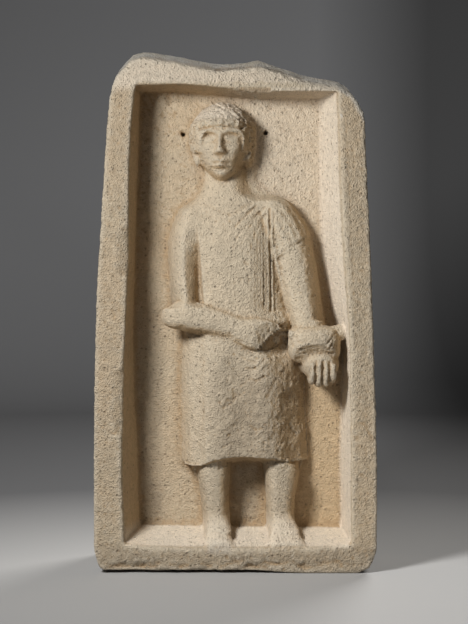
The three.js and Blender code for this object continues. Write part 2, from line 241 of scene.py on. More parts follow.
def field(points, size, seed):
    """A smooth random field from -1 to 1 over space; size is one number or one per axis."""
    table = np.random.default_rng(seed).uniform(-1, 1, (32, 32, 32))
    q = points / np.asarray(size, float)
    cell = np.floor(q).astype(int)
    f = q - cell
    f = f * f * (3 - 2 * f)
    total = 0
    for dx in (0, 1):
        wx = f[:, 0] if dx else 1 - f[:, 0]
        for dy in (0, 1):
            wy = f[:, 1] if dy else 1 - f[:, 1]
            for dz in (0, 1):
                wz = f[:, 2] if dz else 1 - f[:, 2]
                at = (cell + (dx, dy, dz)) % 32
                total = total + table[at[:, 0], at[:, 1], at[:, 2]] * wx * wy * wz
    return total


def layered(points, size, seed, layers=3):
    total, weight = 0, 0
    for i in range(layers):
        total = total + field(points, np.asarray(size, float) / 2**i, seed + i) / 2**i
        weight += 1 / 2**i
    return total / weight


def pits(points, spacing, radius, share, seed):
    """Depth from 0 to 1 of round pits scattered in space, one at most in each cell."""
    rng = np.random.default_rng(seed)
    jitter = rng.uniform(0.3, 0.7, (16, 16, 16, 3))
    size = rng.uniform(0.45, 1.0, (16, 16, 16)) * (rng.uniform(0, 1, (16, 16, 16)) < share)
    q = points / spacing
    cell = np.floor(q - 0.5).astype(int)
    depth = np.zeros(len(points))
    reach = radius / spacing
    for offset in np.ndindex(2, 2, 2):
        near = cell + np.array(offset)
        key = tuple((near % 16).T)
        gap = np.linalg.norm(q - near - jitter[key], axis=1)
        own = size[key] * reach + 1e-9
        depth = np.maximum(depth, np.clip(1 - (gap / own) ** 2, 0, 1) * size[key])
    return depth


def turned(a, b, degrees):
    """Two coordinates turned about the origin of their plane."""
    c, s = math.cos(math.radians(degrees)), math.sin(math.radians(degrees))
    return a * c - b * s, a * s + b * c


def slanted(points, degrees):
    """The points with x and z turned, for patterns that run at a slant across the front."""
    x, z = turned(points[:, 0], points[:, 2], -degrees)
    return np.stack([x, points[:, 1], z], 1)


# ---- meshes ----------------------------------------------------------------------------


def points_of(mesh):
    flat = np.empty(len(mesh.vertices) * 3)
    mesh.vertices.foreach_get("co", flat)
    return flat.reshape(-1, 3)


def normals_of(mesh):
    flat = np.empty(len(mesh.vertices) * 3, np.float32)
    mesh.vertex_normals.foreach_get("vector", flat)
    return flat.reshape(-1, 3).astype(float)


def set_points(mesh, points):
    mesh.vertices.foreach_set("co", np.asarray(points, np.float32).ravel())
    mesh.update()


def mesh_from(bm, name):
    mesh = bpy.data.meshes.new(name)
    bm.to_mesh(mesh)
    bm.free()
    return mesh


def cylinder(sides, rings):
    """A closed cylinder of radius 1 with z from 0 to 1, cut into rings."""
    bm = bmesh.new()
    bmesh.ops.create_cone(
        bm, cap_ends=True, cap_tris=True, segments=sides, radius1=1, radius2=1, depth=1
    )
    upright = [e for e in bm.edges if abs(e.verts[0].co.z - e.verts[1].co.z) > 0.5]
    bmesh.ops.subdivide_edges(bm, edges=upright, cuts=rings - 1, use_grid_fill=True)
    bmesh.ops.translate(bm, vec=(0, 0, 0.5), verts=bm.verts)
    return mesh_from(bm, "cylinder")


def ball(columns, rows):
    """A closed ball of radius 1: a cylinder drawn in to a small cap at each end."""
    mesh = cylinder(columns, rows)
    x, y, z = points_of(mesh).T
    polar = lerp(0.02, math.pi - 0.02, z)
    set_points(mesh, np.stack([x * np.sin(polar), y * np.sin(polar), -np.cos(polar)], 1))
    return mesh


def panel_block(across, up, through):
    """A closed block, from 0 to 1 each way, cut into cells."""
    bm = bmesh.new()
    bmesh.ops.create_grid(bm, x_segments=across, y_segments=up, size=0.5)
    made = bmesh.ops.extrude_face_region(bm, geom=bm.faces[:])
    raised = [v for v in made["geom"] if isinstance(v, bmesh.types.BMVert)]
    bmesh.ops.translate(bm, vec=(0, 0, 1), verts=raised)
    depth_edges = [e for e in bm.edges if abs(e.verts[0].co.z - e.verts[1].co.z) > 0.5]
    bmesh.ops.subdivide_edges(bm, edges=depth_edges, cuts=through - 1, use_grid_fill=True)
    bmesh.ops.recalc_face_normals(bm, faces=bm.faces)
    mesh = mesh_from(bm, "block")
    points = points_of(mesh)
    set_points(mesh, points + np.array([0.5, 0.5, 0]))
    return mesh


def squared(angle, squareness):
    """A point on a unit loop between a circle and a square."""
    c, s = np.cos(angle), np.sin(angle)
    size = (np.abs(c) ** squareness + np.abs(s) ** squareness) ** (1 / squareness)
    return c / size, s / size


def limb(stations, sides, rings, across=(0, 1, 0), shape=None):
    """A body along a path of stations; across is the direction of its thickness."""
    mesh = cylinder(sides, rings)
    unit = points_of(mesh)
    table = [(i, *row) for i, row in enumerate(stations)]
    last = len(stations) - 1
    t = unit[:, 2] * last

    def centre(at):
        rows = rows_at(table, at)
        return np.stack([rows[:, 0], FRONT + rows[:, 1], rows[:, 2]], 1)

    rows = rows_at(table, t)
    ahead = centre(np.minimum(t + 0.05, last)) - centre(np.maximum(t - 0.05, 0))
    ahead /= np.linalg.norm(ahead, axis=1)[:, None]
    wide = np.cross(np.broadcast_to(across, ahead.shape), ahead)
    wide /= np.linalg.norm(wide, axis=1)[:, None]
    thick = np.cross(ahead, wide)
    angle = np.arctan2(unit[:, 1], unit[:, 0])
    radius = np.hypot(unit[:, 0], unit[:, 1])
    u, v = squared(angle, rows[:, 5])
    if shape is not None:
        radius = radius * shape(angle, unit[:, 2])
    points = centre(t)
    points = points + wide * (u * rows[:, 3] * radius)[:, None]
    points = points + thick * (v * rows[:, 4] * radius)[:, None]
    set_points(mesh, points)
    return mesh


def lump(centre, half, columns, rows, shape=None, turn=0.0):
    """A rounded body: an egg of given half sizes, shaped by a function, turned about z."""
    mesh = ball(columns, rows)
    points = points_of(mesh)
    if shape is not None:
        points = shape(points)
    x, y, z = (points * np.array(half)).T
    points = np.stack([*turned(x, y, turn), z], 1)
    set_points(mesh, points + np.array([centre[0], FRONT + centre[1], centre[2]]))
    return mesh


def bar(points, radius):
    """A round bar with round ends through points of x, depth, z."""
    stations = [(*p, radius, radius, 2.0) for p in points]

    def rounded(_, t):
        tip = np.minimum(t, 1 - t) * len(points) * 1.6
        return np.sqrt(np.clip(tip * (2 - tip), 0.02, 1)) * (tip < 1) + (tip >= 1)

    return limb(stations, 20, 40, (0.08, 1, 0.06), rounded)


def box_body(centre, size, turn):
    """A plain box, turned by degrees about x, then y, then z of the world."""
    bm = bmesh.new()
    bmesh.ops.create_cube(bm, size=1)
    bmesh.ops.scale(bm, vec=size, verts=bm.verts)
    x, y, z = (Matrix.Rotation(math.radians(turn[i]), 3, "XYZ"[i]) for i in range(3))
    bmesh.ops.rotate(bm, cent=(0, 0, 0), matrix=x @ y @ z, verts=bm.verts)
    bmesh.ops.translate(bm, vec=(centre[0], FRONT + centre[1], centre[2]), verts=bm.verts)
    return mesh_from(bm, "box")


def outward(mesh):
    bm = bmesh.new()
    bm.from_mesh(mesh)
    bmesh.ops.recalc_face_normals(bm, faces=bm.faces)
    bm.to_mesh(mesh)
    bm.free()
    return mesh


def applied(mesh, *modifiers):
    """A mesh with modifiers applied; each is its kind and its settings."""
    holder = bpy.data.objects.new("holder", mesh)
    bpy.context.scene.collection.objects.link(holder)
    for kind, settings in modifiers:
        modifier = holder.modifiers.new(kind.lower(), kind)
        for name, value in settings.items():
            setattr(modifier, name, value)
    bpy.context.view_layer.update()
    finished = bpy.data.meshes.new_from_object(
        holder.evaluated_get(bpy.context.evaluated_depsgraph_get())
    )
    bpy.data.objects.remove(holder)
    return finished


def cut(mesh, *tools):
    """A body with other bodies cut out of it."""
    for tool in tools:
        cutter = bpy.data.objects.new("cutter", outward(tool))
        bpy.context.scene.collection.objects.link(cutter)
        settings = {"operation": "DIFFERENCE", "object": cutter, "solver": "EXACT"}
        mesh = applied(mesh, ("BOOLEAN", settings))
        bpy.data.objects.remove(cutter)
    return mesh


def joined(bodies):
    bm = bmesh.new()
    for body in bodies:
        bm.from_mesh(outward(body))
    return mesh_from(bm, "stone")


# ---- the slab --------------------------------------------------------------------------


def taper(z):
    return np.clip((z - TAPER_START) / TAPER_LENGTH, 0, 1.1)


def slab_left(z):
    return -(BASE_HALF_WIDTH - LEFT_TAPER * taper(z) ** 2.2)


def slab_right(z):
    return BASE_HALF_WIDTH - RIGHT_TAPER * taper(z) ** 1.3


def top_at(x):
    return np.interp(x, *np.array(TOP_BREAK, float).T)


def niche_depth(z):
    return lerp(NICHE_FLOOR_DEPTH, NICHE_TOP_DEPTH, np.clip(z / NICHE_TOP, 0, 1))


def slab():
    mesh = panel_block(60, 90, 12)
    u, w, v = points_of(mesh).T
    z = w * 920
    left = slab_left(z) + np.interp(z, [0, 12, 45], [22, 8, 0])
    right = slab_right(z) - np.interp(z, [0, 12, 45], [34, 12, 0])
    x = lerp(left, right, u)
    z = w * top_at(x)
    depth = v * THICKNESS
    # the break is rounded from front to back, and falls most towards the carved face
    fall = 24 * bump(depth, 30) + 18 * np.clip((depth - 120) / 85, 0, 1) ** 2
    z = z - fall * np.clip((z - 850) / 120, 0, 1)
    worn = 6 * np.clip(1 - depth / 40, 0, 1) * np.clip((120 - x) / 90, 0, 1)
    z = np.where(z < 6, worn, z)
    set_points(mesh, np.stack([x, FRONT + depth, z], 1))
    return outward(mesh)


def niche():
    mesh = panel_block(40, 90, 10)
    u, w, v = points_of(mesh).T
    s = lerp(-0.12, 1, v)
    fallen = NICHE_TOP - NICHE_TOP_FALL * ramp(0.2, 0.65, u)
    floor = lerp(NICHE_FLOOR_FRONT + 8 * (2 * u - 1) ** 4, NICHE_FLOOR_BACK, s) + 6 * (0.5 - u) * s
    z = lerp(floor, fallen, w)
    side = rows_at(NICHE_SIDES, z)
    x = lerp(lerp(side[:, 0], side[:, 1], s), lerp(side[:, 2], side[:, 3], s), u)
    set_points(mesh, np.stack([x, FRONT + s * niche_depth(z), z], 1))
    return mesh


def drilled(x, z):
    mesh = cylinder(32, 2)
    unit = points_of(mesh)
    y = FRONT + niche_depth(z) + HOLE_DEPTH - unit[:, 2] * (HOLE_DEPTH + 30)
    set_points(mesh, np.stack([x + unit[:, 0] * HOLE_RADIUS, y, z + unit[:, 1] * HOLE_RADIUS], 1))
    return mesh


# ---- the figure ------------------------------------------------------------------------


def tunic_depth(x, z):
    middle, half, front, squareness = rows_at(TUNIC, z).T
    back = niche_depth(z) + 8
    share = np.minimum(np.abs(x - middle) / half, 1)
    return back - (back - front) * (1 - share**squareness) ** (1 / squareness)


def tunic():
    mesh = cylinder(300, 200)
    unit = points_of(mesh)
    z = lerp(TUNIC[0][0], TUNIC[-1][0], unit[:, 2])
    middle, half, front, squareness = rows_at(TUNIC, z).T
    back = niche_depth(z) + 8
    angle = np.arctan2(unit[:, 1], unit[:, 0])
    radius = np.hypot(unit[:, 0], unit[:, 1])
    u, v = squared(angle, squareness)
    x = middle + u * half * radius
    depth = back + v * np.where(v < 0, back - front, 25) * radius
    # the hem bows up in the middle and dips at the sides
    bow = 6 - 12 * np.minimum(np.abs(x - middle) / 95, 1) ** 2 - 7 * ramp(-20, -95, x)
    bow -= 18 * ramp(50, 105, depth) * window(x, -80, -50, 118, 96)
    bow *= (1 - unit[:, 2]) ** 8
    set_points(mesh, np.stack([x, FRONT + depth, z + bow], 1))
    return mesh


def left_sleeve():
    """The pleated short sleeve, cut off at a slant above the elbow."""
    stations = [(x, d, z, w + 3, t + 4, q) for x, d, z, w, t, q in rooted(LEFT_ARM[:5])]

    def pleated(angle, t):
        return 1 - 0.035 * (0.5 - 0.5 * np.cos(angle * 15 + 2.5 * t)) * ramp(0.02, 0.3, t)

    sleeve = limb(stations, 200, 90, shape=pleated)
    return cut(outward(sleeve), box_body((131.5, 60, 570), (180, 260, 100), (0, -32, 0)))


def fingers():
    made = []
    for i, x in enumerate((146, 159, 172, 185)):
        lift = (0, -5, -5, 2)[i]
        path = [
            (x - 2, 58, 366 + lift), (x - 1, 22, 361 + lift), (x, 9, 370 + lift), (x, 8, 384),
            (x, 11, 398 - i),
        ]
        made.append(bar(path, 6.6))
    return made


def bird():
    def body_shape(p):
        x, y, z = p.T
        return np.stack([np.sign(x) * np.abs(x) ** 0.75, y, np.sign(z) * np.abs(z) ** 0.55], 1)

    parts = [
        lump((151, 50, 430), (51, 46, 38), 90, 60, body_shape),
        bar([(124, 30, 448), (104, 25, 450), (84, 26, 455), (66, 34, 458)], 7.5),
        bar([(172, 42, 447), (196, 48, 452), (210, 62, 456)], 16),
    ]
    broken = ((160, -16, 409), (130, 120, 60), (-48, 0, 0))
    return [cut(outward(part), box_body(*broken)) for part in parts]


def face(x, z):
    """Height of a calm, plain face in shares of half the head; x from the nose, z from mid head."""
    side = np.abs(x)
    low = np.clip(-z, 0, 1)
    # an arched brow, the socket cut back below it, and the eye between two lids
    below = 0.16 - 1.1 * (side - 0.25) ** 2 - z
    socket = ramp(-0.015, 0.05, below) * bump(np.maximum(below - 0.08, 0), 0.17)
    socket *= bump(side - 0.28, 0.19)
    brow = bump(below + 0.03, 0.05) * window(side, 0.02, 0.12, 0.6, 0.36)
    eye = np.hypot((side - 0.285) / 0.15, (z - 0.01 + 0.12 * (side - 0.285)) / 0.07)
    eyeball = np.sqrt(np.clip(1 - 0.8 * eye**2, 0, 1)) * (eye < 1.1)
    lids = bump(eye - 1.12, 0.24) * ramp(1.3, 0.9, np.abs((side - 0.285) / 0.15))
    # nose, from a narrow bridge to a rounded tip with its wings
    nose = bump(x, 0.075 + 0.045 * ramp(0.1, 0.34, low)) * window(-z, -0.2, 0.3, 0.41, 0.34)
    bridge = bump(x, 0.07) * bump(z - 0.07, 0.16)
    wings = bump(side - 0.11, 0.045) * bump(z + 0.33, 0.06)
    # mouth and chin
    upper_lip = bump(x, 0.17) * bump(z + 0.53 + 0.06 * bump(x, 0.03), 0.04)
    lower_lip = bump(x, 0.14) * bump(z + 0.65, 0.045)
    mound = bump(x, 0.24) * bump(z + 0.58, 0.16)
    seam = bump(x, 0.19) * bump(z + 0.588 - 0.15 * x * x, 0.022)
    corners = bump(side - 0.2, 0.03) * bump(z + 0.585, 0.03)
    philtrum = bump(x, 0.03) * bump(z + 0.45, 0.05)
    under = bump(x, 0.16) * bump(z + 0.735, 0.04)
    chin = bump(x, 0.19) * bump(z + 0.88, 0.11)
    cheek = bump(side - 0.4, 0.17) * bump(z + 0.22, 0.17)
    return (
        0.23 * nose + 0.06 * bridge + 0.06 * wings - 0.13 * socket + 0.04 * brow
        + 0.085 * eyeball + 0.035 * lids + 0.1 * upper_lip + 0.1 * lower_lip + 0.06 * mound
        - 0.1 * seam - 0.04 * corners - 0.025 * philtrum - 0.06 * under + 0.1 * chin
        + 0.05 * cheek
    )


def head():
    def shape(p):
        x, y, z = p.T
        jaw = np.clip(-z, 0, 1)
        front = y < 0
        face_x = x * HEAD_HALF[0] / HEAD_HALF[2]
        deep = np.where(front, -(np.abs(y) ** 0.66) * (1 - 0.06 * jaw**2), y)
        relief = face(face_x, z) * HEAD_HALF[2] / HEAD_HALF[1]
        deep = deep - np.where(front, relief, 0) * ramp(0, 0.3, -y)
        return np.stack([x * (1 - 0.3 * jaw**1.7), deep, z], 1)

    return lump(HEAD, HEAD_HALF, 260, 200, shape, -HEAD_TURN)


def hair():
    def shape(p):
        x, y, z = p.T
        return np.stack([x, np.where(y < 0, -(np.abs(y) ** 0.85), y), z], 1)

    def opening(p):
        return np.sign(p) * np.abs(p) ** np.array([0.6, 1, 0.6])

    cap = lump((HEAD[0], HEAD[1] + 10, HEAD[2] + 8), (65, 77, 71), 200, 160, shape, -HEAD_TURN)
    brow = lump((HEAD[0], -8, FRINGE - 46), (50, 60, 46), 90, 80, opening, -HEAD_TURN)
    nape = box_body((HEAD[0], -22, HEAD[2] - 69), (180, 160, 90), (0, 0, -HEAD_TURN))
    return cut(outward(cap), brow, nape)


def ears():
    made = []
    for side in (-1, 1):
        def shape(p, side=side):
            x, y, z = p.T
            hollow = bump(np.hypot(x - side * 0.15, z * 0.75 - 0.15), 0.42) * (y < 0)
            return np.stack([x * (1 + 0.25 * z), y + 0.5 * hollow, z], 1)

        place = (HEAD[0] + side * 49, HEAD[1] - 9, HEAD[2] - 26)
        made.append(lump(place, (9, 15, 23), 60, 48, shape, -HEAD_TURN))
    return made


# ---- the whole stone -------------------------------------------------------------------


def block():
    """The framed slab: niche, drilled holes and the large breaks cut out of it."""
    return cut(
        slab(),
        niche(),
        *(drilled(x, z) for x, z in HOLES),
        box_body((207, -40.5, 933.4), (220, 220, 100), (55, 8, 0)),
        box_body((-206, -2, 607), (22, 18, 92), (0, 4, 24)),
        box_body((-215, -3, 322), (22, 18, 122), (0, 2, 20)),
    )


def rooted(stations):
    """The same limb, its widest part moved back into the stone behind it."""
    back = [max(d, niche_depth(z) + 4) for _, d, z, *_ in stations]
    return [(x, b, z, w, t + b - d, q + 0.2) for (x, d, z, w, t, q), b in zip(stations, back)]


def whole_body():
    return joined([
        block(),
        tunic(),
        limb(NECK, 120, 60),
        limb(rooted(LEFT_ARM), 140, 120),
        left_sleeve(),
        limb(rooted(RIGHT_UPPER_ARM), 140, 100),
        limb(RIGHT_FOREARM, 120, 120),
        lump((163, 58, 392), (37, 50, 33), 90, 60),
        lump((165, 38, 387), (31, 34, 32), 90, 60),
        *(limb(web, 60, 40) for web in HEM_WEBS),
        *fingers(),
        *bird(),
        head(),
        hair(),
        *ears(),
        limb(rooted(LEFT_LEG), 120, 90),
        limb(rooted(RIGHT_LEG), 120, 90),
        limb(LEFT_FOOT, 110, 80, (0, 0, 1)),
        limb(RIGHT_FOOT, 110, 80, (0, 0, 1)),
    ])


# ---- carving marks and wear ------------------------------------------------------------

# Marks on each part: half width, depth (negative stands proud), then points of x and z.
MARKS = {
    "figure": [
        # upright folds under the left shoulder
        (1.6, 1.7, [(43, 640), (43, 560), (44, 512)]),
        (1.6, 1.9, [(49, 648), (49, 580), (50, 508)]),
        (1.8, 2.9, [(53, 676), (54, 600), (55, 500)]),
        (1.7, 2.0, [(58, 680), (59, 600), (60, 498)]),
        (2.0, 4.6, [(66, 690), (67, 600), (69, 494)]),
        (1.8, 2.3, [(73, 684), (74, 600), (76, 494)]),
        (2.4, -2.0, [(62.5, 670), (63.5, 590), (65, 500)]),
        (2.6, -2.3, [(71, 668), (71.5, 600), (73, 500)]),
        (2.2, -1.3, [(51.5, 650), (52, 590), (52, 515)]),
        (1.5, 1.0, [(24, 640), (25, 590), (26, 540)]),
        (1.5, 1.0, [(31, 646), (32, 590), (33, 530)]),
        (1.5, 1.2, [(37, 650), (38, 580), (38, 520)]),
        # slanting folds from the shoulder to the chest
        (1.7, 3.2, [(40, 697), (26, 683), (12, 669), (-1, 655)]),
        (1.6, 2.0, [(52, 692), (30, 667), (12, 648), (2, 634)]),
        (1.6, 1.7, [(58, 694), (42, 676), (28, 656), (12, 624)]),
        (1.6, 1.4, [(62, 690), (50, 668), (38, 640), (30, 612)]),
        # the sleeve's hem
        (2.2, 2.6, [(80, 590), (87, 602), (96, 612), (105, 619), (124, 626)]),
        # elbow, wrist and the broken end of the hand
        (5.5, 9.0, [(-104, 461), (-88, 450), (-66, 447)]),
        (1.6, 1.4, [(-10, 446), (4, 440), (18, 433), (30, 430)]),
        (4.0, 7.0, [(-99, 202), (-85, 190), (-73, 175)]),
        # feathers of the wing
        (1.7, 2.6, [(169, 424), (181, 441)]), (1.7, 2.6, [(177, 422), (189, 446)]),
        (1.7, 2.6, [(186, 424), (197, 452)]),
        (2.0, 2.0, [(160, 427), (172, 432), (184, 446), (198, 458)]),
        # the broken left side of the bird
        (2.6, 2.4, [(112, 446), (122, 434), (132, 436)]),
        (2.6, 2.0, [(108, 430), (120, 420), (136, 424), (146, 416)]),
        # chips and gouges on the tunic
        (3.0, 2.6, [(20, 589), (22, 585)]), (2.4, 2.2, [(9, 556), (11, 553)]),
        (2.0, 1.8, [(18, 553), (24, 550), (30, 554)]),
        (2.4, 3.2, [(20, 384), (30, 382), (38, 386)]),
        (2.4, -2.2, [(18, 391), (30, 389), (42, 394), (58, 408)]),
        (2.4, 3.0, [(8, 350), (20, 358), (30, 366), (38, 360)]),
        (2.4, 2.6, [(40, 362), (52, 368), (62, 370)]),
        (3.0, -2.4, [(44, 376), (52, 390), (64, 402)]),
        (2.8, 2.4, [(-4, 340), (6, 332), (16, 338)]),
        (2.6, 2.2, [(-30, 320), (-22, 312), (-10, 316)]),
        (2.6, 2.4, [(60, 330), (70, 344), (76, 360)]),
        (2.8, 2.2, [(82, 292), (90, 306), (88, 320)]),
        (2.4, 2.0, [(28, 276), (40, 268), (52, 272)]),
        (4.0, 2.4, [(-12, 326), (-4, 322), (0, 330)]),
        (1.2, -0.8, [(-45, 267), (-38, 258), (-33, 247)]),
        (2.5, 1.8, [(8, 410), (22, 400), (34, 398)]),
        # neckline: a low edge with the neck a little deeper above it
        (3.0, -1.3, [(-62, 694), (-52, 690), (-30, 678), (-10, 672)]),
        (3.2, -2.6, [(-10, 672), (5, 678), (30, 693), (50, 706)]),
        (3.6, 1.6, [(-56, 699), (-30, 686), (-9, 680), (3, 686), (26, 700), (44, 712)]),
        # between the fingers, and the nails
        (1.9, 5.0, [(138, 362), (140, 378), (144, 392)]),
        (2.0, 6.0, [(151, 358), (152, 378), (153, 400)]),
        (2.0, 6.5, [(164, 356), (165, 378), (166, 400)]),
        (2.0, 6.5, [(177, 357), (178, 378), (179, 398)]), (2.6, -1.8, [(159, 390), (159, 396)]),
        (2.6, -1.8, [(172, 389), (172, 395)]), (2.6, -1.8, [(185, 385), (185, 391)]),
        # toes
        (1.5, 1.6, [(84, 52), (82, 68)]), (1.5, 1.6, [(97, 50), (94, 68)]),
        (1.5, 1.4, [(108, 50), (105, 64)]), (1.5, 1.4, [(118, 49), (115, 60)]),
    ],
    "ground": [
        (4.0, 5.0, [(-99, 202), (-85, 190), (-73, 175)]),
        # the plain back of the niche
        (4.0, 3.0, [(66, 893), (70, 889)]), (4.5, -2.5, [(72, 884), (74, 880)]),
        (1.6, 1.6, [(140, 858), (152, 846), (158, 841)]), (2.2, 1.8, [(117, 811), (118, 785)]),
        (1.4, 1.8, [(72, 788), (84, 764), (97, 742)]),
        (1.4, 1.4, [(109, 742), (119, 739), (128, 731)]),
        (1.4, 1.0, [(-104, 750), (-97, 755), (-89, 751)]),
        (1.3, 1.0, [(-138, 387), (-124, 392), (-112, 385)]),
        (4.0, 3.0, [(-108, 920), (-80, 917), (-50, 914)]), (1.8, 2.2, [(125, 786), (131, 791)]),
    ],
    "frame": [
        # the frame's face
        (1.6, 1.8, [(-262, 284), (-244, 271), (-228, 262), (-220, 274)]),
        (1.5, 1.2, [(208, 856), (212, 779), (216, 703), (218, 609)]),
        (1.4, 0.8, [(218, 609), (223, 534), (226, 477), (227, 421)]),
        (4.0, 3.0, [(214, 267), (220, 260), (228, 254)]),
        (4.0, 2.4, [(242, 282), (250, 268), (258, 250)]),
        (2.0, 2.6, [(26, 25), (40, 18), (62, 10)]), (1.8, 2.0, [(44, 14), (56, 22), (70, 20)]),
        (1.8, 2.0, [(-122, 17), (-110, 12), (-98, 14)]), (1.8, 1.6, [(-72, 11), (-56, 7)]),
        (4.0, 3.0, [(-180, 20), (-176, 14)]), (3.0, 2.8, [(-17, 33), (-15, 29)]),
        (1.2, -0.6, [(-46, 60), (-41, 36), (-37, 12)]), (1.2, -0.6, [(-8, 28), (-3, 16), (1, 6)]),
        (1.2, -0.6, [(73, 42), (80, 22), (86, 4)]),
    ],
}


def line_gap(x, z, path):
    """Distance in x and z to a line through points."""
    best = np.full(len(x), np.inf)
    for (ax, az), (bx, bz) in zip(path, path[1:]):
        dx, dz = bx - ax, bz - az
        t = np.clip(((x - ax) * dx + (z - az) * dz) / (dx * dx + dz * dz), 0, 1)
        best = np.minimum(best, np.hypot(x - ax - t * dx, z - az - t * dz))
    return best


class Surface:
    """The stone's skin in millimetres, with where each part of it lies."""

    def __init__(self, mesh):
        self.mesh = mesh
        self.points = points_of(mesh)
        pairs = np.empty(len(mesh.edges) * 2, np.int32)
        mesh.edges.foreach_get("vertices", pairs)
        self.a, self.b = pairs.reshape(-1, 2).T
        self.count = np.bincount(self.a, minlength=len(self.points)) + np.bincount(
            self.b, minlength=len(self.points)
        )

    def spread(self, values, times, share=0.6):
        """Values of the vertices evened out over their neighbours."""
        values = np.array(values, float)
        flat = values.reshape(len(self.points), -1)
        for _ in range(times):
            for column in flat.T:
                total = np.bincount(self.a, column[self.b], len(flat))
                total += np.bincount(self.b, column[self.a], len(flat))
                column += share * (total / self.count - column)
        return values

    def soften(self, weights, times, share=0.6):
        """Smooths only where the weights say."""
        moving = np.flatnonzero(weights > 0.01)
        if not len(moving):
            return
        flag = np.zeros(len(self.points), bool)
        flag[moving] = True
        use = flag[self.a] | flag[self.b]
        a, b = self.a[use], self.b[use]
        nodes, index = np.unique(np.concatenate([a, b, moving]), return_inverse=True)
        a, b = index[: len(a)], index[len(a) : 2 * len(a)]
        local = self.points[nodes].copy()
        weight = (np.asarray(weights, float)[nodes] * flag[nodes])[:, None] * share
        size = len(nodes)
        count = np.maximum(np.bincount(a, minlength=size) + np.bincount(b, minlength=size), 1)
        for _ in range(times):
            total = np.stack(
                [np.bincount(a, c[b], size) + np.bincount(b, c[a], size) for c in local.T], 1
            )
            local += weight * (total / count[:, None] - local)
        self.points[nodes] = local

    def write(self):
        set_points(self.mesh, self.points)
        self.normals = normals_of(self.mesh)

    def locate(self):
        """Shares from 0 to 1 for each part of the stone."""
        x, y, z = self.points.T
        facing = -self.normals[:, 1]
        depth = y - FRONT
        side = rows_at(NICHE_SIDES, z)
        s = np.clip(depth / niche_depth(z), 0, 1)
        left = lerp(side[:, 0], side[:, 1], s)
        right = lerp(side[:, 2], side[:, 3], s)
        plane = niche_depth(z)
        between = ramp(-2, 6, x - left) * ramp(-2, 6, right - x) * (z > 40) * (z < 925)
        between *= depth < plane + 45
        self.depth = depth
        self.inside = ramp(4, 10, x - left) * ramp(4, 10, right - x) * (z > 50) * (z < 925)
        self.ground = between * ramp(13, 5, plane - depth)
        opening = ramp(2, 8, x - left) * ramp(2, 8, right - x) * ramp(46, 58, z) * (z < 925)
        self.frame = ramp(16, 8, depth) * (1 - opening)
        self.figure = (
            ramp(5, 13, plane - depth) * ramp(8, 16, x - left) * ramp(4, 12, right - x)
            * ramp(4, 12, z - lerp(NICHE_FLOOR_FRONT, NICHE_FLOOR_BACK, s)) * ramp(918, 905, z)
        )
        inner = (1 - self.figure) * (1 - self.ground) * (1 - self.frame)
        self.wall = inner * (depth < plane + 8) * (x > left - 12) * (x < right + 12)
        self.wall *= (z > 40) * (z < 930)
        crown = top_at(x)
        self.broken = ramp(32, 14, crown - z) * ramp(840, 870, z)
        corner = ramp(-6, 4, (x - 160) * 0.6 + (z - 872) * 0.9 - depth * 0.5)
        corner *= (z > 850) * (x > right + 2) * ramp(0.97, 0.9, facing)
        self.broken = np.maximum(self.broken, corner)
        toes = window(x, -56, -46, -4, -12) * window(z, 34, 42, 66, 58) * (depth < 26)
        self.broken = np.maximum(self.broken, 0.35 * toes)
        self.back = ramp(THICKNESS - 14, THICKNESS - 4, depth)
        self.facing = facing

    def carve(self, where, width, depth, path):
        """Cuts or raises a line on one part of the stone."""
        part = getattr(self, where)
        xs, zs = [p[0] for p in path], [p[1] for p in path]
        reach = width * 2.6
        x, _, z = self.points.T
        near = np.flatnonzero(
            (part > 0.05) & (x > min(xs) - reach) & (x < max(xs) + reach)
            & (z > min(zs) - reach) & (z < max(zs) + reach) & (self.facing > 0.15)
        )
        p = self.points[near]
        sway = field(p, 9, 61) * 0.35 * width
        gap = line_gap(p[:, 0] + sway, p[:, 2] + sway, path)
        push = depth * bump(gap, width) * part[near] * (0.75 + 0.35 * field(p, 14, 62))
        self.points[near, 1] += push * ramp(0.15, 0.5, self.facing[near])


# Where bodies flow into each other: low and high x, low and high z, and how often smoothed.
BLENDS = [
    (-96, -40, 632, 730, 320),
    (-80, 70, 668, 740, 60),
    (-66, 20, 416, 462, 60),
    (-75, 0, 52, 112, 40),
    (55, 128, 52, 112, 40),
    (-45, -5, 462, 500, 16),
]


def blend(stone):
    """Evens out the creases between the carved bodies."""
    x, _, z = stone.points.T
    for x0, x1, z0, z1, times in BLENDS:
        edge = 12
        weight = window(x, x0 - edge, x0 + edge, x1 + edge, x1 - edge)
        weight *= window(z, z0 - edge, z0 + edge, z1 + edge, z1 - edge) * (stone.depth < 84)
        stone.soften(weight * stone.inside, times)
    # wide fillets where the light side of the figure meets the plain back, narrow elsewhere
    plane = niche_depth(z)
    near = ramp(24, 12, plane - stone.depth) * stone.inside
    lit = ramp(0.1, 0.5, -stone.normals[:, 0] + 0.4 * stone.facing)
    stone.soften(near * (0.6 + 0.4 * lit), 40)
    # chipped arrises of the niche's left edge
    chip = (x < -190) * (x > -232) * (stone.depth < 20)
    span = window(z, 555, 570, 662, 648) + window(z, 256, 270, 390, 374)
    stone.soften(chip * np.clip(span, 0, 1), 24)
    stone.write()


ARM_INNER_EDGE = [(455, 112), (490, 103), (540, 90), (590, 78), (640, 66), (700, 44)]


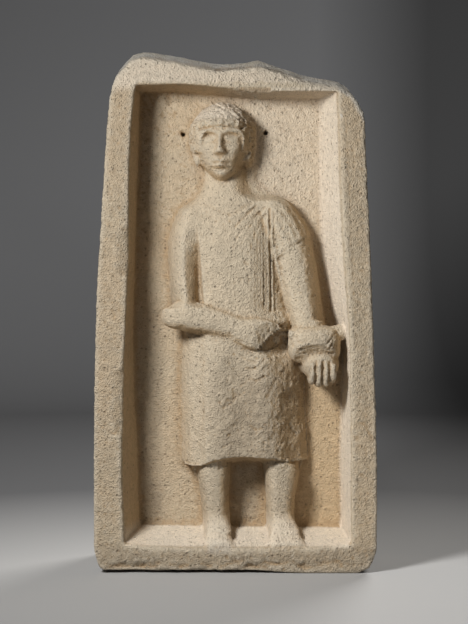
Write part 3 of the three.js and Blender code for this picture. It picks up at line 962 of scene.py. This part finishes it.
def drape(stone):
    """Turns the tunic's right side away, and lets the thighs show under the skirt."""
    x, y, z = stone.points.T
    cloth = stone.figure * ramp(9, 5, tunic_depth(x, z) - stone.depth)
    arm = np.interp(z, *np.array(ARM_INNER_EDGE, float).T)
    chest = window(z, 470, 500, 700, 672) * np.where(z > 455, ramp(arm + 2, arm - 4, x), 1)
    skirt = ramp(478, 452, z) * ramp(198, 212, z + 18 * ramp(104, 122, x))
    turned_away = chest * 13 * ramp(18, 88, x) + skirt * 17 * ramp(42, 130, x)
    thighs = 3.6 * np.cos((x - 12) * 2 * math.pi / 107) * ramp(450, 400, z) * ramp(-104, -70, x)
    room = 0.6 * np.clip(niche_depth(z) - stone.depth, 0, 100)
    y += cloth * np.minimum(turned_away + thighs, room)
    neck = stone.figure * window(z, 706, 722, 792, 772) * ramp(46, 56, stone.depth) * (x > -10)
    y += neck * np.minimum(24 * ramp(-8, 40, x), room)
    stone.write()


def deepen(stone):
    """Hollows the chest beside the right arm, and breaks off the right hand's end."""
    x, y, z = stone.points.T
    open_side = stone.figure * ramp(0.1, 0.4, stone.facing)
    inner = x + 0.075 * (z - 512)
    wedge = ramp(-106, -64, inner) ** 1.5 * ramp(-59.5, -64.5, inner)
    wedge *= window(z, 676, 560, 498, 510)
    y += open_side * 17 * wedge * (1 + 0.15 * field(stone.points, 12, 63))

    stone.depth = y - FRONT
    hollow = 22 * bump(x - 86, 27) * bump(z - 434, 27)
    cloth = tunic_depth(x, z) + 17 * ramp(42, 130, x) * ramp(478, 452, z)
    y += hollow * stone.figure * ramp(9, 5, np.abs(cloth - stone.depth)) * (x > 30) * (x < 118)
    stone.depth = y - FRONT
    cloth = cloth + hollow
    hand = stone.figure * ramp(3, 7, cloth - stone.depth)
    hand *= (x > 30) * (x < 102) * (z > 410) * (z < 488)
    across = (x - 42) * 0.954 - (z - 468) * 0.30
    facet = 12 + 0.5 * np.clip(across, 0, 40) + 1.8 * field(stone.points, 7, 64)
    along = (x - 84) * 0.728 + (z - 456) * 0.684 + 2.0 * field(stone.points, 9, 65)
    jag = 5.5 * np.mod(along / 7.5, 1) + 1.2 * field(stone.points, 3.5, 66)
    beyond = (x - 84) * 0.684 - (z - 456) * 0.728 + jag
    gone = ramp(-1, 1.5, beyond) * ramp(462, 452, z)
    target = lerp(np.where(across > 0, facet, 0), cloth, gone)
    y += np.clip(target - stone.depth, 0, 40) * hand
    stone.write()


# Flanks: side, low and high z, reach, shift inwards, then heights and places of the flank.
FLANKS = [
    (-1, 196, 452, 60, 24, [(209, -106), (330, -108), (450, -103)]),
    (1, 199, 340, 60, 17, [(209, 144), (330, 136), (450, 123)]),
    (1, 475, 690, 45, 10, [(470, 172), (540, 165), (590, 157), (640, 143), (690, 110)]),
    (-1, 500, 690, 45, 12, [(500, -127), (570, -131), (630, -132), (690, -106)]),
    (1, 770, 892, 34, 9, [(770, 22), (822, 41), (870, 34), (900, 14)]),
    (1, 70, 196, 34, -5, [(70, -10), (130, -14), (200, -9)]),
    (1, 70, 196, 34, -5, [(70, 117), (130, 116), (200, 124)]),
]


def lay_back(stone):
    """Lays the flanks of the figure back in wide slopes, and the top of the head with them."""
    x, y, z = stone.points.T
    rise = np.clip((niche_depth(z) - stone.depth) / 75, 0, 1) * stone.inside
    for side, low, high, reach, shift, line in FLANKS:
        edge = np.interp(z, *np.array(line, float).T)
        inward = (edge - x) * side
        weight = ramp(reach, 6, inward) * (inward > -20)
        weight *= window(z, low - 4, low + 4, high + 12, high - 12)
        x -= side * shift * weight * rise
    room = 0.5 * np.clip(niche_depth(z) - stone.depth, 0, 100)
    nod = stone.figure * ramp(848, 905, z) * (np.abs(x - HEAD[0]) < 90)
    y += np.minimum(20 * nod, room)
    stone.soften(stone.inside * window(x, 18, 32, 96, 80) * window(z, 700, 716, 800, 784), 30)
    stone.write()


def weather(stone, sizes):
    """Wears the arrises, cuts the marks and roughens every part of the surface."""
    stone.points = stone.spread(stone.points, 3)
    stone.write()
    stone.locate()
    for step in (blend, drape, deepen, lay_back):
        step(stone)
        stone.locate()

    # worn and chipped arrises
    smooth = stone.spread(stone.points, 10)
    convex = np.sum((stone.points - smooth) * stone.normals, 1)
    chip = ramp(0.0, 0.9, layered(stone.points, 26, 3)) + 0.35
    loss = np.clip(convex, 0, 3) * chip * (0.2 + 0.9 * stone.frame + 0.5 * stone.back)
    stone.points = stone.points - stone.normals * (loss * sizes.wear)[:, None]
    stone.write()

    for where, marks in MARKS.items():
        for mark in marks:
            stone.carve(where, *mark)
    stone.write()

    p, n = stone.points, stone.normals
    slant = slanted(p, 38)
    upper = ramp(560, 700, p[:, 2])
    grain = layered(p, 6, 11, 3)
    coarse = layered(p, 22, 21, 3)
    wide = layered(p, 90, 31, 2)
    push = np.zeros(len(p))

    # oblique point marks on the plain back of the niche, strongest beside the head
    strokes = layered(slant, (5, 12, 13), 41, 3)
    uneven = 0.35 + 0.65 * ramp(-0.3, 0.4, field(p, 45, 43))
    push += stone.ground * (0.25 + 0.75 * upper) * sizes.chisel * (
        0.9 * uneven * np.clip(strokes, -1, 0.1) + 0.55 * coarse
    )
    push += stone.ground * 0.8 * grain
    push -= stone.ground * (0.3 + 0.7 * upper) * sizes.pits * 2.2 * pits(slant, 13, 4.8, 0.4, 57)
    # granular tunic, roughest below and to the right
    tunic_front = stone.figure * ramp(0.3, 0.6, stone.facing) * (p[:, 2] > 190) * (p[:, 2] < 700)
    tunic_front *= ramp(-86, -62, p[:, 0])
    folds = window(p[:, 0], 28, 40, 84, 74) * ramp(480, 500, p[:, 2])
    rough = 0.6 + 0.4 * ramp(-90, 90, p[:, 0] * 0.8 + (450 - p[:, 2]) * 0.25)
    sharp = np.clip(1.6 * layered(p, 8, 23, 2), -0.4, 1)
    low_front = ramp(470, 400, p[:, 2])
    push += tunic_front * rough * sizes.grain * (
        1.4 * grain + (1.3 + 1.4 * low_front) * coarse + (0.3 + 0.5 * low_front) * sharp
    ) * (1 - 0.5 * folds)
    push -= tunic_front * rough * sizes.pits * 1.9 * pits(p + 2 * grain[:, None], 8.5, 3.7, 0.6, 51)
    # the rest of the figure and the walls are smoother
    calm = np.clip(stone.figure + stone.wall, 0, 1) * (1 - tunic_front)
    push += calm * sizes.grain * (0.8 * grain + 0.6 * coarse)
    # the frame's face
    push += stone.frame * sizes.grain * (1.3 * grain + 1.1 * coarse + 0.3 * sharp)
    push -= stone.frame * sizes.pits * 1.4 * pits(p + 2 * grain[:, None], 12, 4.4, 0.5, 53)
    # outer sides, back and underside: point marks, plainer
    rest = 1 - np.clip(stone.figure + stone.wall + stone.frame + stone.ground, 0, 1)
    rest *= 1 - stone.broken
    points_cut = np.clip(layered(slanted(p, -52), (7, 9, 24), 71, 2), -1, 0.2)
    push += rest * (0.5 * coarse + 0.25 * grain + 0.8 * points_cut)
    # fresh broken crown
    facets = layered(p, 34, 81, 2)
    push += stone.broken * (2.4 * np.abs(facets) - 1.2 + 1.0 * coarse + 0.4 * grain)
    push += 1.1 * wide * (1 - stone.figure)
    # hair: small tufts
    q = turned_points(p)
    side = np.hypot(q[:, 0] / 62, (q[:, 2] - 8) / 72)
    temples = (side > 0.86) * (p[:, 2] > 785)
    cap = stone.figure * np.maximum(ramp(FRINGE - 2, FRINGE + 1, p[:, 2]), temples)
    cap *= np.abs(q[:, 0]) < 72
    tufts = np.clip(field(p * (1, 1, 0.7), 5.0, 91) + 0.5 * field(p, 3.8, 92), -0.45, 0.6)
    worn = ramp(-30, -60, p[:, 0]) * ramp(845, 865, p[:, 2])
    roll = bump(p[:, 2] - FRINGE - 8, 7)
    push += cap * (3.6 * tufts * (1 - 0.75 * worn) + 1.8 * roll)
    line = bump(p[:, 2] - FRINGE + 1 + 1.2 * field(p, 7, 93), 3.4) * stone.figure
    push -= 5.0 * line * (np.abs(q[:, 0]) < 44) * (stone.facing > 0.3)
    # ragged lower arris of the front
    ragged = np.clip(layered(p, (26, 26, 12), 95, 3) + 0.15, 0, 1) * ramp(34, 8, p[:, 2])
    push -= 11 * ragged * ramp(30, 14, stone.depth) * stone.frame
    # the underside stays flat
    push *= ramp(2, 10, p[:, 2])
    stone.points = p + n * push[:, None]
    stone.points[:, 2] = np.where(p[:, 2] < 2, p[:, 2], np.maximum(stone.points[:, 2], 0))
    stone.write()


def turned_points(points):
    """Points as the head sees them: its own middle, its own left and right."""
    x, y, z = (points - np.array([HEAD[0], FRONT + HEAD[1], HEAD[2]])).T
    return np.stack([*turned(x, y, HEAD_TURN), z], 1)


def thinned(mesh, weights, target):
    """The mesh with fewer triangles, most of them left where the weight is low."""
    holder = bpy.data.objects.new("holder", mesh)
    bpy.context.scene.collection.objects.link(holder)
    group = holder.vertex_groups.new(name="plain")
    levels = np.round(np.clip(weights, 0.02, 1) * 20).astype(int)
    for level in np.unique(levels):
        group.add(np.flatnonzero(levels == level).tolist(), level / 20, "REPLACE")
    modifier = holder.modifiers.new("thin", "DECIMATE")
    modifier.vertex_group = "plain"
    modifier.vertex_group_factor = 4.0
    modifier.ratio = target / (2 * len(mesh.polygons))
    bpy.context.view_layer.update()
    finished = bpy.data.meshes.new_from_object(
        holder.evaluated_get(bpy.context.evaluated_depsgraph_get())
    )
    bpy.data.objects.remove(holder)
    return finished


# ---- finish ----------------------------------------------------------------------------


def stain(stone):
    """Where the surface is broken, dirty, worn pale or deep, and where shade and light are painted,
    for the stone's colour.
    """
    mesh = stone.mesh
    smooth = stone.spread(stone.points, 6)
    convex = np.sum((stone.points - smooth) * stone.normals, 1)
    wider = stone.spread(stone.points, 30)
    hollow = np.sum((wider - stone.points) * stone.normals, 1)
    x, _, z = stone.points.T
    figure, ground, wall, frame_face = stone.figure, stone.ground, stone.wall, stone.frame
    inside = stone.inside * (1 - frame_face)
    # painted shade: warm ochre on sides turned away from the key light, on undersides, on the
    # ground right of the skirt below the hand and on the shaded left wall
    lee = np.max([
        inside * ramp(0.25, 0.75, stone.normals[:, 0]),
        inside * ramp(0.4, 0.8, -stone.normals[:, 2]),
        0.8 * ground * ramp(30, 70, x) * ramp(430, 380, z),
        wall * ramp(-150, -190, x),
    ], 0)
    # darker at the foot of the front and on the lower skirt and legs; on the ground between the
    # legs and at the far left it is painted shade, where the hem and the left wall cast their
    # shadows
    low = np.max([
        ramp(62, 34, z) * ramp(30, 4, stone.depth),
        figure * ramp(-90, 10, x) * window(z, 450, 340, 195, 210)
        + 0.45 * figure * window(z, 202, 190, 70, 100),
        ground * window(x, -48, -32, 84, 66) * ramp(230, 205, z),
        ground * ramp(-120, -165, x) * (0.35 + 0.5 * ramp(480, 300, z)),
    ], 0)
    # painted highlight: paler stone where the light falls strongest, on the right wall, the low
    # walls and floor of the niche, the upper right of the back, the top of the frame, the top of
    # the hair and the feet
    bright = (
        wall * ramp(120, 170, x) + wall * ramp(90, 70, z)
        + 0.55 * ground * ramp(560, 760, z) * ramp(-120, 60, x)
        + 0.8 * frame_face * ramp(900, 925, z)
        + figure * ramp(850, 870, z) + 0.6 * figure * ramp(110, 80, z)
    )
    values = {
        "broken": stone.broken,
        "frame_face": frame_face,
        "pale": np.clip(figure * ramp(0.2, 0.8, stone.facing) + 0.7 * wall, 0, 1),
        "edge": np.clip(convex * 0.9 - 0.3, 0, 1),
        # painted shade: the wide hollows and the small creases are darkened where shade falls
        "hollow": np.clip(hollow * 0.22, 0, 1),
        "crevice": np.clip(-convex * 1.2 - 0.3, 0, 1),
        "outer": np.clip(1 - frame_face - figure - ground - wall, 0, 1),
        "lee": lee,
        "low": low,
        "bright": np.clip(bright, 0, 1) * (1 - stone.broken),
    }
    for name, value in values.items():
        layer = mesh.attributes.new(name, "FLOAT", "POINT")
        layer.data.foreach_set("value", value.astype(np.float32))


class Tree:
    """Adds nodes to a material and links them."""

    def __init__(self, material):
        material.use_nodes = True
        self.nodes = material.node_tree.nodes
        self.links = material.node_tree.links
        self.nodes.clear()

    def add(self, kind, inputs=(), output=0, **settings):
        """A node with its settings and inputs; returns its output socket."""
        node = self.nodes.new(kind)
        for name, value in settings.items():
            setattr(node, name, value)
        for key, value in dict(inputs).items():
            socket = node.inputs[key]
            if isinstance(value, bpy.types.NodeSocket):
                self.links.new(value, socket)
            else:
                socket.default_value = value
        return node.outputs[output] if node.outputs else None

    def share(self, name):
        return self.add("ShaderNodeAttribute", output=2, attribute_name=name)

    def noise(self, place, scale, detail=3.0, roughness=0.55):
        return self.add(
            "ShaderNodeTexNoise",
            {"Vector": place, "Scale": scale, "Detail": detail, "Roughness": roughness},
        )

    def remap(self, value, low, high, to_low=0.0, to_high=1.0):
        return self.add(
            "ShaderNodeMapRange", {0: value, 1: low, 2: high, 3: to_low, 4: to_high}
        )

    def maths(self, operation, a, b):
        return self.add("ShaderNodeMath", {0: a, 1: b}, operation=operation)

    def mix(self, factor, a, b, blend="MIX"):
        return self.add(
            "ShaderNodeMix", {0: factor, 6: a, 7: b}, output=2, data_type="RGBA", blend_type=blend
        )


def limestone(colours):
    """Weathered limestone: warm beige with painted shade in the hollows, creases and lee sides,
    painted highlights where the light falls, bluish grey on the fresh break.
    """
    material = bpy.data.materials.new("limestone")
    tree = Tree(material)
    place = tree.add("ShaderNodeTexCoord", output=3)
    broad = tree.noise(place, 7.0)
    patch = tree.noise(place, 24.0, 4.0)
    mottle = tree.noise(place, 90.0, 4.0, 0.6)
    grain = tree.noise(place, 300.0, 3.0, 0.65)
    warm = tree.remap(broad, 0.36, 0.64)
    base = tree.mix(warm, (*colours.stone, 1), (*colours.warm, 1))
    for part, tone, amount in (
        ("pale", colours.clean, 0.6),
        ("frame_face", colours.grime_and_shade, tree.remap(patch, 0.3, 0.7, 0.1, 0.4)),
        ("outer", colours.grime_and_shade, tree.remap(patch, 0.35, 0.65, 0.2, 0.6)),
        # darker low down, with painted shade between the legs and at the far left
        ("low", colours.grime_and_shade, tree.remap(patch, 0.35, 0.65, 0.45, 0.85)),
        ("broken", colours.broken, tree.remap(patch, 0.35, 0.6, 0.5, 0.9)),
        # painted warm shade on the sides turned away from the light
        ("lee", colours.painted_shade_ochre, 0.6),
        # painted shade darkening the hollows and the creases
        ("hollow", colours.dirt_and_shade, tree.remap(patch, 0.4, 0.65, 0.0, 0.25)),
        ("crevice", colours.dirt_and_shade, tree.remap(mottle, 0.3, 0.6, 0.2, 0.7)),
        # painted highlight on the lit tops and the right wall
        ("bright", colours.highlight_chalk, 0.7),
        ("edge", colours.worn, 0.4),
    ):
        base = tree.mix(tree.maths("MULTIPLY", tree.share(part), amount), base, (*tone, 1))
    blotch = tree.remap(mottle, 0.3, 0.7, 0.9, 1.1)
    speck = tree.remap(grain, 0.34, 0.66, 0.9, 1.08)
    for shade in (blotch, speck):
        even = tree.add("ShaderNodeCombineColor", {0: shade, 1: shade, 2: shade})
        base = tree.mix(1.0, base, even, "MULTIPLY")
    # small round pits of two sizes, some of the cells left without one
    hole = 0.0
    for size, share in ((130.0, 0.16), (270.0, 0.24)):
        cells, tint = (
            tree.add("ShaderNodeTexVoronoi", {"Vector": place, "Scale": size}, i) for i in (0, 1)
        )
        chance = tree.add("ShaderNodeSeparateColor", {0: tint})
        here = tree.remap(chance, share, share - 0.05)
        round_hole = tree.maths("MULTIPLY", tree.remap(cells, 0.36, 0.16), here)
        hole = tree.maths("MAXIMUM", hole, round_hole)
    # each pit is painted dark: painted shade and dirt in the pit
    base = tree.mix(tree.maths("MULTIPLY", hole, 0.5), base, (*colours.pit, 1))
    height = tree.maths("ADD", grain, tree.maths("MULTIPLY", mottle, 0.6))
    height = tree.maths("SUBTRACT", height, tree.maths("MULTIPLY", hole, 0.35))
    relief = tree.add("ShaderNodeBump", {"Height": height, "Strength": 1.0, "Distance": 0.0056})
    shader = tree.add(
        "ShaderNodeBsdfPrincipled",
        {"Base Color": base, "Roughness": 0.93, "Specular IOR Level": 0.22, "Normal": relief},
    )
    tree.add("ShaderNodeOutputMaterial", {"Surface": shader})
    return material


def studio_grey(colours):
    material = bpy.data.materials.new("studio")
    tree = Tree(material)
    place = tree.add("ShaderNodeTexCoord", output=3)
    away = tree.add(
        "ShaderNodeVectorMath", {0: place, 1: (0.0, -0.45, 0.0)}, output=1, operation="DISTANCE"
    )
    # painted shadow: the backdrop darkens towards the right, like the stone's shadow on a wall
    # close behind it
    side = tree.add("ShaderNodeSeparateXYZ", {0: place}, output=0)
    painted_shadow_grey = tuple(0.24 * c for c in colours.backdrop)
    far = tree.mix(tree.remap(side, 0.5, 1.15), (*colours.backdrop, 1), (*painted_shadow_grey, 1))
    base = tree.mix(tree.remap(away, 0.6, 1.5), (*colours.floor, 1), far)
    shader = tree.add("ShaderNodeBsdfPrincipled", {"Base Color": base, "Roughness": 0.85})
    tree.add("ShaderNodeOutputMaterial", {"Surface": shader})
    return material


# ---- add-on ----------------------------------------------------------------------------


def length(name, description, default, least, most):
    text = description + ", in millimetres"
    return bpy.props.FloatProperty(
        name=name, description=text, default=default, min=least, max=most
    )


class SteleSizes(bpy.types.PropertyGroup):
    voxel: length("Carving step", "Finest step of the carved surface", 1.8, 1, 6)
    triangles: bpy.props.IntProperty(
        name="Triangles", description="Triangles left on the finished stone", default=190000,
        min=20000, max=198000,
    )
    grain: length("Grain", "Height of the granular surface", 1.0, 0, 4)
    pits: length("Pits", "Depth of the weathered pits", 1.0, 0, 4)
    chisel: length("Chisel marks", "Depth of the marks beside the head", 3.0, 0, 5)
    wear: length("Wear", "How far the arrises are worn", 1.3, 0, 5)


def colour(name, description, default):
    return bpy.props.FloatVectorProperty(
        name=name, description=description, default=default, subtype="COLOR", size=3, min=0, max=1
    )


class SteleColours(bpy.types.PropertyGroup):
    stone: colour("Stone", "Plain stone", (0.59, 0.49, 0.355))
    warm: colour("Warm stone", "Broad warmer patches", (0.63, 0.50, 0.345))
    clean: colour("Clean stone", "Figure and niche walls", (0.68, 0.59, 0.455))
    # grey brown dirt, also used for the painted shade low in the niche
    grime_and_shade: colour("Grime", "Grey brown dirt on the frame", (0.40, 0.325, 0.235))
    # painted shade colour for the sides turned away from the light
    painted_shade_ochre: colour("Ochre", "Warm stone on the lee sides", (0.62, 0.43, 0.23))
    # painted highlight colour for the places where the light falls strongest
    highlight_chalk: colour("Chalk", "Palest stone of walls, floor and hair", (0.88, 0.78, 0.65))
    broken: colour("Fresh break", "Bluish grey of the broken crown", (0.70, 0.68, 0.64))
    # painted shade colour for the hollows and creases
    dirt_and_shade: colour("Dirt", "Orange brown in the hollows", (0.40, 0.27, 0.15))
    worn: colour("Worn edges", "Pale worn arrises", (0.70, 0.63, 0.51))
    # painted shade and dirt colour of the pits
    pit: colour("Pits", "Dark specks", (0.16, 0.12, 0.08))
    floor: colour("Floor", "Studio floor", (0.36, 0.36, 0.36))
    backdrop: colour("Backdrop", "Studio backdrop", (0.105, 0.107, 0.112))


CAMERA_PLACE = (-0.0028, FRONT * MM - 2.3, 0.4924)
CAMERA_LENS = 70.47
SENSOR_WIDTH = 36


class STELE_OT_camera(bpy.types.Operator):
    """Places the camera square to the carved face"""

    bl_idname = "stele.camera"
    bl_label = "Camera"

    def execute(self, context):
        data = bpy.data.cameras.new("camera")
        data.lens = CAMERA_LENS
        data.sensor_width = SENSOR_WIDTH
        camera = bpy.data.objects.new("camera", data)
        camera.location = CAMERA_PLACE
        camera.rotation_euler = (math.radians(90), 0, 0)
        context.scene.collection.objects.link(camera)
        context.scene.camera = camera
        return {"FINISHED"}


class STELE_OT_stone(bpy.types.Operator):
    """Carves, weathers and colours the block with its niche and figure"""

    bl_idname = "stele.stone"
    bl_label = "Carved stone"

    def execute(self, context):
        sizes = context.scene.stele_sizes
        step = sizes.voxel * 1.0
        dense = applied(
            whole_body(),
            ("REMESH", {"mode": "VOXEL", "voxel_size": step, "adaptivity": 0.0}),
        )
        if not dense.polygons:
            raise RuntimeError("the carved bodies didn't join")
        stone = Surface(dense)
        weather(stone, sizes)
        plain = 1 - 0.9 * stone.figure
        plain *= 1 - 0.45 * np.clip(stone.frame + stone.ground + stone.wall, 0, 1)
        mesh = thinned(dense, plain, sizes.triangles)
        stone = Surface(mesh)
        stone.write()
        stone.locate()
        stain(stone)
        set_points(mesh, np.clip(stone.points, LOW, HIGH) * MM)
        mesh.name = "carved_stone"
        mesh.materials.clear()
        mesh.materials.append(limestone(context.scene.stele_colours))
        mesh.shade_smooth()
        piece = bpy.data.objects.new("carved_stone", mesh)
        context.scene.collection.objects.link(piece)
        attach(piece, "root")
        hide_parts("stele")
        return {"FINISHED"}


FLOOR_RADIUS = 3.6
CURVE_RADIUS = 1.4
WALL_HEIGHT = 6.0


def backdrop_mesh():
    """A wide round floor that turns up into a wall all round, well away from the stone."""
    bm = bmesh.new()
    profile = [(0.0, 0.0), (FLOOR_RADIUS, 0.0)]
    for i in range(1, 13):
        angle = math.radians(90 * i / 12)
        rise = CURVE_RADIUS * (1 - math.cos(angle))
        profile.append((FLOOR_RADIUS + CURVE_RADIUS * math.sin(angle), rise))
    profile.append((FLOOR_RADIUS + CURVE_RADIUS, WALL_HEIGHT))
    row = [bm.verts.new((r, 0, z)) for r, z in profile]
    edges = [bm.edges.new(pair) for pair in zip(row, row[1:])]
    around = {"cent": (0, 0, 0), "axis": (0, 0, 1), "angle": math.tau, "steps": 96}
    bmesh.ops.spin(bm, geom=row + edges, use_merge=True, **around)
    bmesh.ops.remove_doubles(bm, verts=bm.verts, dist=1e-4)
    bmesh.ops.recalc_face_normals(bm, faces=bm.faces)
    bmesh.ops.reverse_faces(bm, faces=bm.faces)
    return mesh_from(bm, "backdrop")


# name, place, size, power and tint of each light, all aimed at the middle of the stone
LIGHTS = [
    ("key", (-0.59, -0.86, 0.99), 0.29, 12.1, (1.0, 0.985, 0.96)),
    ("back", (1.5, 2.6, 2.1), 1.8, 7.0, (1.0, 0.97, 0.93)),
    ("fill", (1.8, -2.4, 0.9), 1.6, 0.06, (1.0, 0.78, 0.52)),
]
LIGHT_TARGET = (0, 0, 0.5)
WORLD_TINT = (1.0, 0.76, 0.5, 1)
WORLD_STRENGTH = 0.006


def area_light(name, location, size, power, tint):
    """A round soft light whose strength stays even over the stone."""
    data = bpy.data.lights.new(name, "AREA")
    data.shape = "DISK"
    data.size = size
    data.energy = power
    data.color = tint
    data.use_nodes = True
    nodes, links = data.node_tree.nodes, data.node_tree.links
    falloff = nodes.new("ShaderNodeLightFalloff")
    falloff.inputs["Strength"].default_value = 1.0
    links.new(falloff.outputs["Constant"], nodes["Emission"].inputs["Strength"])
    light = bpy.data.objects.new(name, data)
    light.location = location
    aim = Vector(LIGHT_TARGET) - Vector(location)
    light.rotation_euler = aim.to_track_quat("-Z", "Y").to_euler()
    bpy.context.scene.collection.objects.link(light)


class STELE_OT_stage(bpy.types.Operator):
    """Plain floor and backdrop, a key light from the upper left and a soft one behind"""

    bl_idname = "stele.stage"
    bl_label = "Stage and lights"

    def execute(self, context):
        mesh = backdrop_mesh()
        mesh.materials.append(studio_grey(context.scene.stele_colours))
        mesh.shade_smooth()
        stage = bpy.data.objects.new("backdrop", mesh)
        context.scene.collection.objects.link(stage)
        for light in LIGHTS:
            area_light(*light)
        world = bpy.data.worlds.new("studio")
        world.use_nodes = True
        inputs = world.node_tree.nodes["Background"].inputs
        inputs["Color"].default_value = WORLD_TINT
        inputs["Strength"].default_value = WORLD_STRENGTH
        context.scene.world = world
        context.scene.view_settings.view_transform = "Standard"
        return {"FINISHED"}


class STELE_PT_panel(bpy.types.Panel):
    """Sizes, colours and steps of the stele"""

    bl_idname = "STELE_PT_panel"
    bl_label = "Carved stele"
    bl_space_type = "VIEW_3D"
    bl_region_type = "UI"
    bl_category = "Stele"

    def draw(self, context):
        layout = self.layout
        for group in (context.scene.stele_sizes, context.scene.stele_colours):
            for name in group.bl_rna.properties.keys():
                if name not in {"rna_type", "name"}:
                    layout.prop(group, name)
        for operator in STEPS:
            layout.operator(operator.bl_idname)


STEPS = (STELE_OT_camera, STELE_OT_stone, STELE_OT_stage)
CLASSES = (SteleSizes, SteleColours, *STEPS, STELE_PT_panel)


def register():
    for cls in CLASSES:
        bpy.utils.register_class(cls)
    bpy.types.Scene.stele_sizes = bpy.props.PointerProperty(type=SteleSizes)
    bpy.types.Scene.stele_colours = bpy.props.PointerProperty(type=SteleColours)


def unregister():
    del bpy.types.Scene.stele_colours
    del bpy.types.Scene.stele_sizes
    for cls in reversed(CLASSES):
        bpy.utils.unregister_class(cls)


def main():
    register()
    bpy.ops.stele.camera()
    bpy.ops.stele.stone()
    bpy.ops.stele.stage()


if __name__ == "__main__":
    main()
